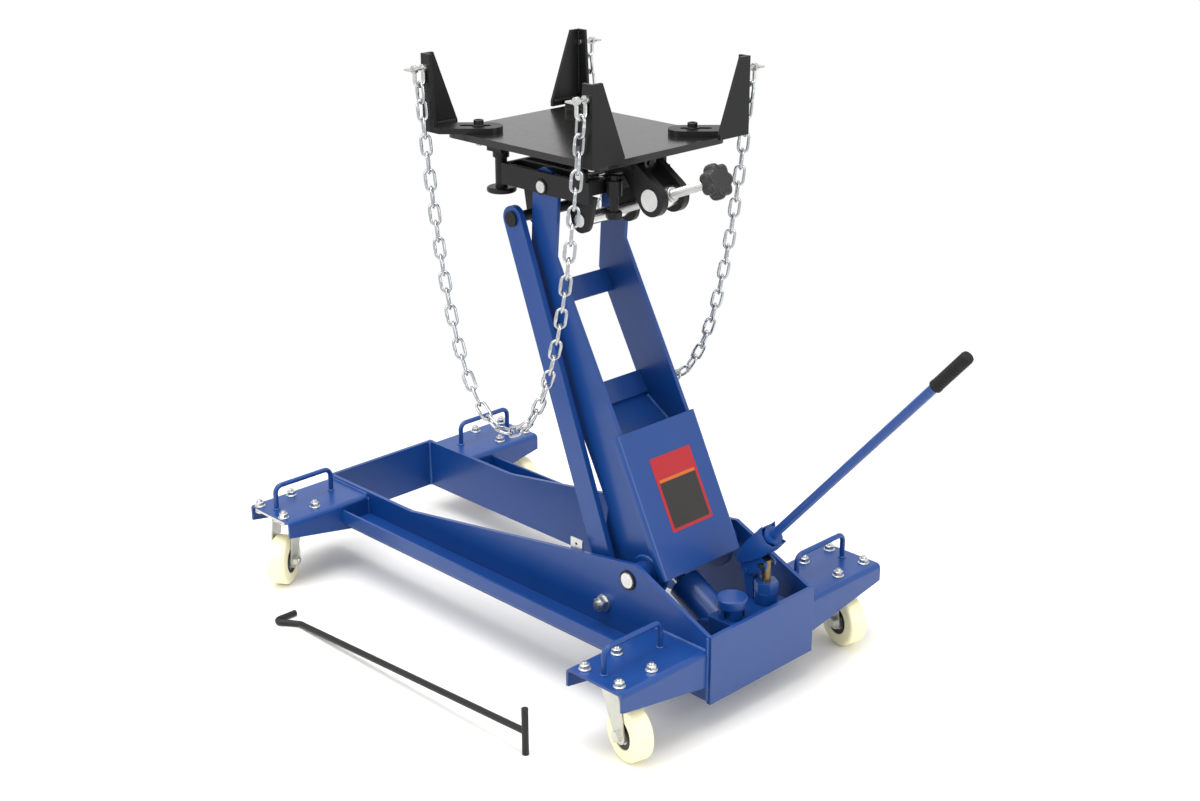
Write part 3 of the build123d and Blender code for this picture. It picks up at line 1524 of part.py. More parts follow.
pieces = {
    "rail_left": rail_left.part,
    "rail_right": rail_right,
    "side_channels": side_channels,
    "front_crossbar": front_crossbar.part,
    "rear_crossbar": rear_crossbar.part,
    "bay_floor": bay_floor.part,
    "outrigger_front_left": outrigger_front_left,
    "outrigger_front_right": outrigger_front_right,
    "outrigger_rear_left": outrigger_rear_left,
    "outrigger_rear_right": outrigger_rear_right,
    "corner_handles": corner_handles,
    "caster_plates": caster_plates,
    "caster_nuts": caster_nuts,
    "arm_plate_left": arm_plate_left.part,
    "arm_plate_right": arm_plate_right,
    "arm_cross_plates": arm_cross_plates,
    "arm_cover": arm_cover.part,
    "arm_pivot_tube": arm_pivot_tube.part,
    "arm_pivot_pin": arm_pivot_pin,
    "link_bar": link_bar.part,
    "link_bolt": link_bolt,
    "yoke_frame": yoke_frame.part,
    "head_pins": head_pins,
    "head_bolts": head_bolts,
    "tilt_frame": tilt_frame.part,
    "roll_pin": roll_pin.part,
    "trunnion_upper": trunnion_upper.part,
    "trunnion_lower": trunnion_lower.part,
    "pitch_screw": pitch_screw.part,
    "star_knob": star_knob.part,
    "roll_screw": roll_screw.part,
    "saddle_plate": saddle_plate.part,
    "bracket_front_left": brackets[0],
    "bracket_front_right": brackets[1],
    "bracket_rear_left": brackets[2],
    "bracket_rear_right": brackets[3],
    "bracket_bolts": bracket_bolts,
    "shackles": shackles,
    "chain_left": chain_left,
    "chain_right": chain_right,
    "pump_block": pump_block.part,
    "pump_cylinder": pump_cylinder.part,
    "pump_plunger": pump_plunger,
    "release_cap": release_cap.part,
    "fulcrum": fulcrum,
    "handle_socket": handle_socket.part,
    "handle_tube": handle_tube.part,
    "handle_grip": handle_grip.part,
    "ram_cylinder": ram_cylinder.part,
    "ram_rod": ram_rod.part,
    "pull_rod": pull_rod.part,
    "rail_tab": rail_tab.part,
}
for corner in corners:
    pieces[f"caster_fork_{corner}"] = caster_forks[corner]
    pieces[f"wheel_{corner}"] = wheels[corner]

os.makedirs("parts", exist_ok=True)
for name, piece in pieces.items():
    piece.label = name
    export_step(piece, f"parts/{name}.step")
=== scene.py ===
"""Looks of the transmission jack: finishes, chains, welds, fasteners, knob, grip and cover panel.

Lengths in the classes are in millimetres, in chassis coordinates: stations from the rear face of
the chassis, offsets to the left of its centreline and heights from the floor. The bench turns
them into metres in the CAD frame.
"""

import logging
import math
from collections.abc import Sequence
from dataclasses import dataclass, field
from enum import Enum

import bmesh
import bpy
from mathutils import Matrix, Vector


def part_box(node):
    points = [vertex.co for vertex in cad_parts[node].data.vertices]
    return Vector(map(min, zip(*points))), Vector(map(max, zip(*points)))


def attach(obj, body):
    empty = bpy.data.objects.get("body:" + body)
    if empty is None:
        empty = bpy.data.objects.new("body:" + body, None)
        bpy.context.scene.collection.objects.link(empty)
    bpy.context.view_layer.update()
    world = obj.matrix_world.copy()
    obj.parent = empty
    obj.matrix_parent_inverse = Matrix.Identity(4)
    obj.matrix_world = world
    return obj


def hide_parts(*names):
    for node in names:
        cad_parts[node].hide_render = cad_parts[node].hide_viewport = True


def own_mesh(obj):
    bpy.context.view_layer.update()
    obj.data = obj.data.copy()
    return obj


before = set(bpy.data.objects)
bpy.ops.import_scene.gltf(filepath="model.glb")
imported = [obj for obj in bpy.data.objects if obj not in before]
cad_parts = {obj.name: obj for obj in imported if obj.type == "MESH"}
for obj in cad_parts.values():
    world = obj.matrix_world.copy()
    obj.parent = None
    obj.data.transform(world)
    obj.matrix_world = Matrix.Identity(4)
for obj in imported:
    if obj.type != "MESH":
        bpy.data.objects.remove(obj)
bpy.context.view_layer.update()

log = logging.getLogger("jack")

Point2 = tuple[float, float]
Point3 = tuple[float, float, float]

MM = 0.001
IMAGE_WIDTH = 1200

# Chassis millimetres that several sub-assemblies are set out from
CHASSIS_LENGTH = 1075.0
RAIL_FACE = 137.0
OUTRIGGER_TOP = 150.0
ARM_PIVOT = (197.5, 218.0)
HEAD_PIN = (447.0, 873.0)
SADDLE_STATION = 440.0
SADDLE_TOP = 964.0

# Sockets of the colour mix node, whose names repeat
MIX_SHARE, MIX_FIRST, MIX_SECOND, MIX_COLOUR = 0, 6, 7, 2


# Small helpers


def linear(colour: str) -> tuple[float, float, float, float]:
    """Turns an sRGB hex colour into a linear one.

    Args:
        colour: six hex digits after a hash sign.

    Returns:
        Linear red, green, blue and full alpha.
    """
    channels = [int(colour[start : start + 2], 16) / 255 for start in (1, 3, 5)]
    red, green, blue = (
        part / 12.92 if part <= 0.04045 else ((part + 0.055) / 1.055) ** 2.4 for part in channels
    )
    return red, green, blue, 1.0


def add_node(
    tree: bpy.types.NodeTree,
    kind: str,
    settings: dict | None = None,
    inputs: dict | None = None,
) -> bpy.types.Node:
    """Adds a shader node with its settings, values and links.

    Args:
        tree: node tree that the node joins.
        kind: type name of the node, without its common start.
        settings: attributes of the node.
        inputs: socket names or indices with a value, or with the socket that feeds them.

    Returns:
        The new node.
    """
    node = tree.nodes.new(f"ShaderNode{kind}")
    for name, value in (settings or {}).items():
        setattr(node, name, value)
    for name, value in (inputs or {}).items():
        if isinstance(value, bpy.types.NodeSocket):
            tree.links.new(value, node.inputs[name])
        else:
            node.inputs[name].default_value = value
    return node


def show(name: str, data: bpy.types.ID) -> bpy.types.Object:
    """Makes an object of its data and puts it into the scene."""
    made = bpy.data.objects.new(name, data)
    bpy.context.scene.collection.objects.link(made)
    return made


# Finishes


@dataclass(frozen=True)
class Finish:
    """Surface that a material stands for.

    Args:
        name: name of the material.
        colour: main colour, sRGB hex.
        shade: second colour that large soft patches drift towards.
        roughness: mean roughness.
        spread: half of the range that the roughness moves in.
        metallic: metallic value.
        grain: size of the surface grain in millimetres, coarser than the real one so that it shows.
        relief: height of the grain in millimetres.
        patch: size of the soft patches in millimetres.
        edge: radius that softens the edges in millimetres.
        shine: strength of the highlights, 0.5 for common paint.
    """

    name: str
    colour: str
    shade: str
    roughness: float
    spread: float = 0.05
    metallic: float = 0.0
    grain: float = 2.5
    relief: float = 0.02
    patch: float = 90.0
    edge: float = 0.9
    shine: float = 0.5

    def noise(
        self,
        tree: bpy.types.NodeTree,
        size: float,
        detail: float = 2.0,
        stretch: Point3 | None = None,
    ) -> bpy.types.NodeSocket:
        """Noise on Object coordinates.

        Args:
            tree: node tree of the material.
            size: size of its features in millimetres.
            detail: layers of finer noise.
            stretch: how much longer the features are along each axis.

        Returns:
            Socket that gives 0 to 1.
        """
        place = add_node(tree, "TexCoord").outputs["Object"]
        if stretch is not None:
            pull = {"Vector": place, "Scale": tuple(1 / part for part in stretch)}
            place = add_node(tree, "Mapping", inputs=pull).outputs["Vector"]
        inputs = {"Vector": place, "Scale": 1 / (size * MM), "Detail": detail}
        return add_node(tree, "TexNoise", inputs=inputs).outputs["Fac"]

    def height(self, tree: bpy.types.NodeTree) -> bpy.types.NodeSocket:
        """Height pattern of the surface, from 0 to 1."""
        return self.noise(tree, self.grain)

    def build(self, tree: bpy.types.NodeTree, shader: bpy.types.Node) -> None:
        """Wires the pattern into the shader.

        Args:
            tree: node tree of the material.
            shader: its Principled shader.
        """
        colours = {MIX_FIRST: linear(self.colour), MIX_SECOND: linear(self.shade)}
        share = {MIX_SHARE: self.noise(tree, self.patch)}
        mix = add_node(tree, "Mix", {"data_type": "RGBA"}, share | colours)
        tree.links.new(mix.outputs[MIX_COLOUR], shader.inputs["Base Color"])
        sway = {
            "Value": self.noise(tree, self.patch / 4),
            "To Min": self.roughness - self.spread,
            "To Max": self.roughness + self.spread,
        }
        rough = add_node(tree, "MapRange", inputs=sway)
        tree.links.new(rough.outputs["Result"], shader.inputs["Roughness"])
        shader.inputs["Metallic"].default_value = self.metallic
        shader.inputs["Specular IOR Level"].default_value = self.shine
        rounded = add_node(tree, "Bevel", {"samples": 4}, {"Radius": self.edge * MM})
        surface = {
            "Strength": 1.0,
            "Distance": self.relief * MM,
            "Height": self.height(tree),
            "Normal": rounded.outputs["Normal"],
        }
        bump = add_node(tree, "Bump", inputs=surface)
        tree.links.new(bump.outputs["Normal"], shader.inputs["Normal"])

    def material(self) -> bpy.types.Material:
        """The material of this finish, made once.

        Returns:
            The material.
        """
        found = bpy.data.materials.get(self.name)
        if found is not None:
            return found
        made = bpy.data.materials.new(self.name)
        made.use_nodes = True
        made.diffuse_color = linear(self.colour)
        self.build(made.node_tree, made.node_tree.nodes["Principled BSDF"])
        return made


@dataclass(frozen=True)
class SprayedEnamel(Finish):
    """Gloss enamel sprayed on steel: the clear top layer gives soft highlights over orange peel."""

    coat: float = 0.28
    coat_roughness: float = 0.18

    def build(self, tree: bpy.types.NodeTree, shader: bpy.types.Node) -> None:
        """Adds the gloss layer of the enamel.

        Args:
            tree: node tree of the material.
            shader: its Principled shader.
        """
        super().build(tree, shader)
        shader.inputs["Coat Weight"].default_value = self.coat
        shader.inputs["Coat Roughness"].default_value = self.coat_roughness


@dataclass(frozen=True)
class PowderCoat(Finish):
    """Baked powder coat: fine even grain that breaks the highlights up."""

    fine: float = 0.9
    wave: float = 6.0

    def height(self, tree: bpy.types.NodeTree) -> bpy.types.NodeSocket:
        """Fine grain over the slow waves of the baked layer.

        Args:
            tree: node tree of the material.

        Returns:
            Socket that gives the sum of both.
        """
        waves = self.noise(tree, self.grain * self.wave)
        grit = self.noise(tree, self.fine, 4.0)
        return add_node(tree, "Math", {"operation": "ADD"}, {0: waves, 1: grit}).outputs[0]


@dataclass(frozen=True)
class BrushedPlate(Finish):
    """Zinc plate on rolled steel: fine streaks along the rolling direction, and a mottled bloom."""

    stretch: Point3 = (1.0, 1.0, 8.0)

    def height(self, tree: bpy.types.NodeTree) -> bpy.types.NodeSocket:
        """Streaks drawn out along the rolling direction."""
        return self.noise(tree, self.grain, 3.0, self.stretch)


@dataclass(frozen=True)
class CastNylon(Finish):
    """Cast nylon: waxy and slightly see-through, so that light softens its edges."""

    glow: float = 0.12
    glow_colours: Point3 = (0.012, 0.009, 0.005)
    glow_scale: float = 0.4

    def build(self, tree: bpy.types.NodeTree, shader: bpy.types.Node) -> None:
        """Adds the light that wanders under the surface.

        Args:
            tree: node tree of the material.
            shader: its Principled shader.
        """
        super().build(tree, shader)
        shader.inputs["Subsurface Weight"].default_value = self.glow
        shader.inputs["Subsurface Radius"].default_value = self.glow_colours
        shader.inputs["Subsurface Scale"].default_value = self.glow_scale


# Deep blue with soft, broad highlights
BLUE_ENAMEL = SprayedEnamel(
    "sprayed_blue_enamel", "#053D84", "#04387B", 0.40, grain=3.0, relief=0.035, shine=0.4
)
# The same paint, pooled on a bead; its lighter colour is a painted highlight where the bead catches
# more light
BLUE_WELD_PAINTED_HIGHLIGHT = SprayedEnamel("enamelled_weld_painted_highlight", "#1A54A0", "#0C4288", 0.34, grain=2.0, relief=0.08)
# Satin black whose highlights break up
BLACK_COAT = PowderCoat(
    "satin_black_powder_coat", "#101011", "#151516", 0.38, grain=2.2, relief=0.03, shine=0.3
)
# A smoother coat on the plate, which mirrors the sky at a low angle
BLACK_PLATE = PowderCoat(
    "black_plate_coat", "#111111", "#1A1918", 0.19, grain=7.0, relief=0.03, patch=50
)
# Oil-blackened rod, dark and dull
BLACK_OXIDE = Finish("blackened_steel", "#101011", "#18181A", 0.44, grain=1.5, shine=0.35)
# Bright zinc with a mottled bloom
ZINC = BrushedPlate(
    "zinc_plated_steel", "#D5D6D3", "#BDBFBC", 0.30, metallic=1.0, grain=1.2, patch=18
)
# Barrel-plated wire with small hard highlights
CHAIN_ZINC = Finish(
    "zinc_plated_chain",
    "#C4C6C8",
    "#A5A8AC",
    0.20,
    metallic=1.0,
    grain=1.6,
    relief=0.04,
    patch=14,
    edge=0.2,
)
# Plated sheet, paler and duller than the bolts
FORK_ZINC = BrushedPlate(
    "zinc_plated_sheet", "#DBDBD3", "#C6C6BD", 0.38, metallic=0.85, grain=1.5, patch=25, edge=0.6
)
# Pins and rods with an even bright face
BRIGHT_STEEL = Finish(
    "turned_bright_steel", "#E4E4E2", "#CFCFCC", 0.26, metallic=1.0, grain=0.8, patch=12
)
# Cream wheels with a waxy edge
NYLON = CastNylon(
    "cast_cream_nylon", "#FDF8D4", "#F6EDBE", 0.46, grain=6.0, relief=0.03, patch=45, edge=1.2
)
# Matt black with hardly a highlight
RUBBER = Finish(
    "moulded_grip_rubber", "#0E0E0F", "#151516", 0.66, grain=0.8, relief=0.05, patch=20, shine=0.3
)
# Hard black plastic with a grey sheen
PHENOLIC = Finish("moulded_black_phenolic", "#171718", "#1F1F20", 0.44, grain=1.2, patch=25)
# Brownish brass, half bright
BRASS = Finish(
    "worn_brass", "#8C7A58", "#6E6046", 0.38, metallic=1.0, grain=0.9, patch=9, edge=0.3
)
# Plain printed films: flat colour under a thin gloss
FILM = {"grain": 9.0, "relief": 0.01, "edge": 0.1}
PANEL_RED = Finish("printed_red_film", "#AE1622", "#A3131E", 0.34, **FILM)
PANEL_ORANGE = Finish("printed_orange_film", "#C9671D", "#BE5F19", 0.34, **FILM)
PANEL_DARK = Finish("printed_dark_film", "#1B1817", "#221E1C", 0.36, **FILM)


class NodeFinish(Enum):
    """Finish of the CAD nodes, by the start of their names."""

    RAILS = (BLUE_ENAMEL, ("rail_left", "rail_right", "side_channels", "front_crossbar"))
    BAY = (BLUE_ENAMEL, ("rear_crossbar", "bay_floor", "outrigger", "corner_handles"))
    ARM = (BLUE_ENAMEL, ("arm_plate", "arm_cross_plates", "arm_cover", "arm_pivot_tube"))
    LINK = (BLUE_ENAMEL, ("link_bar",))
    PUMP = (BLUE_ENAMEL, ("pump_block", "pump_cylinder", "release_cap", "fulcrum", "ram_cylinder"))
    HANDLE = (BLUE_ENAMEL, ("handle_socket", "handle_tube"))
    HEAD = (BLACK_COAT, ("yoke_frame", "tilt_frame", "head_bolts", "roll_pin", "roll_screw"))
    BRACKETS = (BLACK_COAT, ("bracket_",))
    PLATE = (BLACK_PLATE, ("saddle_plate",))
    CASTERS = (FORK_ZINC, ("caster_fork", "caster_plates"))
    BOLTS = (ZINC, ("bracket_bolts", "link_bolt", "caster_nuts", "pitch_screw"))
    PLATED = (ZINC, ("shackles", "rail_tab"))
    PINS = (BRIGHT_STEEL, ("head_pins", "arm_pivot_pin", "trunnion", "ram_rod"))
    PLUNGER = (BRASS, ("pump_plunger",))
    CHAINS = (CHAIN_ZINC, ("chain_",))
    WHEELS = (NYLON, ("wheel_",))
    GRIP = (RUBBER, ("handle_grip",))
    KNOB = (PHENOLIC, ("star_knob",))
    ROD = (BLACK_OXIDE, ("pull_rod",))

    @classmethod
    def of(cls, node: str) -> Finish:
        """Finish of one node.

        Args:
            node: name of the CAD node.

        Returns:
            The finish whose list has the longest start of that name.
        """
        fits = [
            (len(start), choice)
            for choice in cls
            for start in choice.value[1]
            if node.startswith(start)
        ]
        return max(fits, key=lambda fit: fit[0])[1].value[0]


# Mesh making


def kind_of(items: Sequence, kind: type) -> list:
    """The elements of one kind in the result of an operator."""
    return [item for item in items if isinstance(item, kind)]


def section(
    part: bmesh.types.BMesh, radius: float, axis: str, sides: int = 8, capped: bool = False
) -> list[bmesh.types.BMVert]:
    """Adds a circle that stands on edge.

    Args:
        part: mesh that takes it.
        radius: its radius.
        axis: axis that it is turned about, X or Y.
        sides: corners of the circle.
        capped: whether a face fills it.

    Returns:
        Its vertices.
    """
    verts = bmesh.ops.create_circle(part, cap_ends=capped, segments=sides, radius=radius)["verts"]
    turn = Matrix.Rotation(math.pi / 2, 3, axis)
    bmesh.ops.rotate(part, verts=verts, cent=(0, 0, 0), matrix=turn)
    return verts


def spun(part: bmesh.types.BMesh, steps: int) -> bmesh.types.BMesh:
    """Spins the lines of a mesh round the Z axis and closes the result.

    Args:
        part: mesh that holds the lines.
        steps: faces round the axis.

    Returns:
        The same mesh.
    """
    lines = part.verts[:] + part.edges[:]
    whole = {"cent": (0, 0, 0), "axis": (0, 0, 1), "angle": 2 * math.pi, "use_merge": True}
    bmesh.ops.spin(part, geom=lines, steps=steps, **whole)
    bmesh.ops.remove_doubles(part, verts=part.verts, dist=0.0005)
    bmesh.ops.recalc_face_normals(part, faces=part.faces)
    return part


def turned(profile: Sequence[Point2], steps: int = 32, lift: float = 0.0) -> bmesh.types.BMesh:
    """Solid of revolution about the Z axis.

    Args:
        profile: radius and height of each point, from axis to axis or round a closed section.
        steps: faces round the axis.
        lift: height that the whole profile is raised by.

    Returns:
        The closed mesh.
    """
    part = bmesh.new()
    verts = [part.verts.new((radius, 0, lift + height)) for radius, height in profile]
    for pair in zip(verts, verts[1:]):
        part.edges.new(pair)
    return spun(part, steps)


def swept_ring(radius: float, wire: float, steps: int) -> bmesh.types.BMesh:
    """Torus about the Z axis.

    Args:
        radius: radius of the wire's centreline.
        wire: diameter of the wire.
        steps: sections round the ring.

    Returns:
        The closed mesh.
    """
    part = bmesh.new()
    verts = section(part, wire / 2, "X")
    bmesh.ops.translate(part, verts=verts, vec=(radius, 0, 0))
    return spun(part, steps)


def pulled(
    part: bmesh.types.BMesh, face: bmesh.types.BMFace, step: Point3
) -> tuple[bmesh.types.BMFace, list[bmesh.types.BMVert]]:
    """Extrudes a face.

    Args:
        part: mesh that holds the face.
        face: the face.
        step: way that the new face moves.

    Returns:
        The new face and its vertices.
    """
    grown = bmesh.ops.extrude_face_region(part, geom=[face])["geom"]
    verts = kind_of(grown, bmesh.types.BMVert)
    bmesh.ops.translate(part, verts=verts, vec=step)
    return kind_of(grown, bmesh.types.BMFace)[0], verts


def soften(part: bmesh.types.BMesh, edges: list, width: float, segments: int) -> None:
    """Rounds edges off.

    Args:
        part: mesh that holds the edges.
        edges: the edges.
        width: width of the rounding.
        segments: faces across it.
    """
    common = {"offset_type": "OFFSET", "affect": "EDGES", "profile": 0.5, "material": -1}
    bmesh.ops.bevel(part, geom=edges, offset=width, segments=segments, **common)


def weld_run(length: float, width: float) -> bmesh.types.BMesh:
    """Straight weld bead along X with the ripples of the pool.

    Args:
        length: length of the bead.
        width: diameter of the bead.

    Returns:
        The closed mesh, from the origin to its length.
    """
    ripple_pitch, ripple, end_swell = 5.0, 1.1, 1.5
    part = bmesh.new()
    section(part, width / 3, "Y", capped=True)
    steps = max(4, round(2 * length / ripple_pitch))
    step = length / steps
    swells = {1: end_swell, steps: 1 / end_swell}
    face = part.faces[:][0]
    for index in range(1, steps + 1):
        face, verts = pulled(part, face, (step, 0, 0))
        swell = swells.get(index, ripple if index % 2 == 0 else 1 / ripple)
        centre = Matrix.Translation((-index * step, 0, 0))
        bmesh.ops.scale(part, verts=verts, vec=(1, swell, swell), space=centre)
    bmesh.ops.recalc_face_normals(part, faces=part.faces)
    return part


def prism(outline: Sequence[Point2], low: float, high: float, edge: float) -> bmesh.types.BMesh:
    """Plate whose outline lies in the XZ plane.

    Args:
        outline: X and Z of the corners.
        low: Y of one face.
        high: Y of the other face.
        edge: width of the rounding of its edges.

    Returns:
        The closed mesh.
    """
    part = bmesh.new()
    face = part.faces.new([part.verts.new((x, low, z)) for x, z in outline])
    pulled(part, face, (0, high - low, 0))
    bmesh.ops.recalc_face_normals(part, faces=part.faces)
    soften(part, part.edges[:], edge, 2)
    return part


def nut_with_stud(
    size: float, height: float, flange: float, stud: float, proud: float
) -> bmesh.types.BMesh:
    """Hexagonal nut with a washer flange and the end of its threaded stud.

    Args:
        size: size across the flats.
        height: height of the nut.
        flange: diameter of the flange.
        stud: diameter of the stud.
        proud: length of the stud above the nut.

    Returns:
        The parts in one mesh, standing on the XY plane.
    """
    form = Form((ZINC,))
    corner = size / math.sqrt(3)
    chamfer = 0.11 * size
    shoulder = height - chamfer * 0.6
    hexagon = [(0, 0.6), (corner, 0.6), (corner, shoulder), (corner - chamfer, height), (0, height)]
    form.add(turned(hexagon, 6))
    rim = flange / 2
    skirt = [(0, 0), (rim - 0.6, 0), (rim, 0.6), (rim - 0.2, 1.5), (rim - 2.4, 2.6), (0, 2.6)]
    form.add(turned(skirt, 28))
    pitch, crest = 1.5, stud / 2
    root = crest - 0.55
    count = int(proud / pitch)
    thread = [(0, height - 0.5), (root, height - 0.5)]
    for index in range(count):
        base = height + index * pitch
        thread += [(root, base), (crest, base + pitch / 2)]
    thread += [(root, height + count * pitch), (crest - 1.0, height + proud), (0, height + proud)]
    form.add(turned(thread, 20))
    return form.mesh


def aimed(start: Vector, end: Vector) -> Matrix:
    """Place whose X axis runs from one point to the other."""
    turn = (end - start).to_track_quat("X", "Z").to_matrix().to_4x4()
    return Matrix.Translation(start) @ turn


def upright(centre: Point3, axis: Point3) -> Matrix:
    """Place whose Z axis points along an axis."""
    turn = Vector(axis).to_track_quat("Z", "Y").to_matrix().to_4x4()
    return Matrix.Translation(centre) @ turn


def set_on(centre: Point3, right: Vector, rise: Vector, out: Vector) -> Matrix:
    """Place with the three given axes."""
    turn = Matrix((right, rise, out)).transposed().to_4x4()
    return Matrix.Translation(centre) @ turn


@dataclass
class Form:
    """Piece under construction, in chassis millimetres.

    Args:
        finishes: finishes of its parts, in the order of their material indices.
        mesh: mesh that the parts are joined in.
    """

    finishes: tuple[Finish, ...]
    mesh: bmesh.types.BMesh = field(default_factory=bmesh.new)

    def add(self, part: bmesh.types.BMesh, place: Matrix | None = None, finish: int = 0) -> None:
        """Joins a part and frees its own mesh.

        Args:
            part: mesh of the part.
            place: where it goes.
            finish: index of its finish.
        """
        bmesh.ops.transform(part, matrix=place or Matrix.Identity(4), verts=part.verts)
        for face in part.faces:
            face.material_index = finish
        data = bpy.data.meshes.new("part")
        part.to_mesh(data)
        part.free()
        self.mesh.from_mesh(data)
        bpy.data.meshes.remove(data)

    def weld(self, start: Point3, end: Point3, width: float) -> None:
        """Adds a straight weld bead between two points."""
        first, last = Vector(start), Vector(end)
        self.add(weld_run((last - first).length, width), aimed(first, last))


@dataclass(frozen=True)
class Bench:
    """Turns forms into pieces of the scene.

    Args:
        station: station of the datum in metres.
        offset: offset of the datum in metres.
    """

    station: float
    offset: float

    @classmethod
    def from_frame(cls) -> "Bench":
        """Finds the datum from the front crossbar, whose front face ends the chassis."""
        low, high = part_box("front_crossbar")
        return cls(high.x - CHASSIS_LENGTH * MM, (low.y + high.y) / 2)

    def place(self) -> Matrix:
        """Matrix from chassis millimetres to metres in the CAD frame."""
        return Matrix.Translation((self.station, self.offset, 0)) @ Matrix.Scale(MM, 4)

    def keep(
        self,
        name: str,
        form: Form,
        body: str,
        slot: str,
        replaces: tuple[str, ...] = (),
        sharp: float = 35.0,
    ) -> bpy.types.Object:
        """Makes the object of a form and lets it ride on a body.

        Args:
            name: name of the piece.
            form: its mesh and finishes.
            body: CAD body that it moves with.
            slot: not used.
            replaces: CAD nodes that it stands for.
            sharp: angle in degrees from which an edge stays sharp.

        Returns:
            The object.
        """
        mesh = form.mesh
        bmesh.ops.transform(mesh, matrix=self.place(), verts=mesh.verts)
        for face in mesh.faces:
            face.smooth = True
        limit = math.radians(sharp)
        for edge in mesh.edges:
            edge.smooth = len(edge.link_faces) == 2 and edge.calc_face_angle() < limit
        data = bpy.data.meshes.new(name)
        mesh.to_mesh(data)
        mesh.free()
        for finish in form.finishes:
            data.materials.append(finish.material())
        piece = show(name, data)
        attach(piece, body)
        if replaces:
            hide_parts(*replaces)
        log.info("%s: %d faces on %s", name, len(data.polygons), body)
        return piece


# Studio


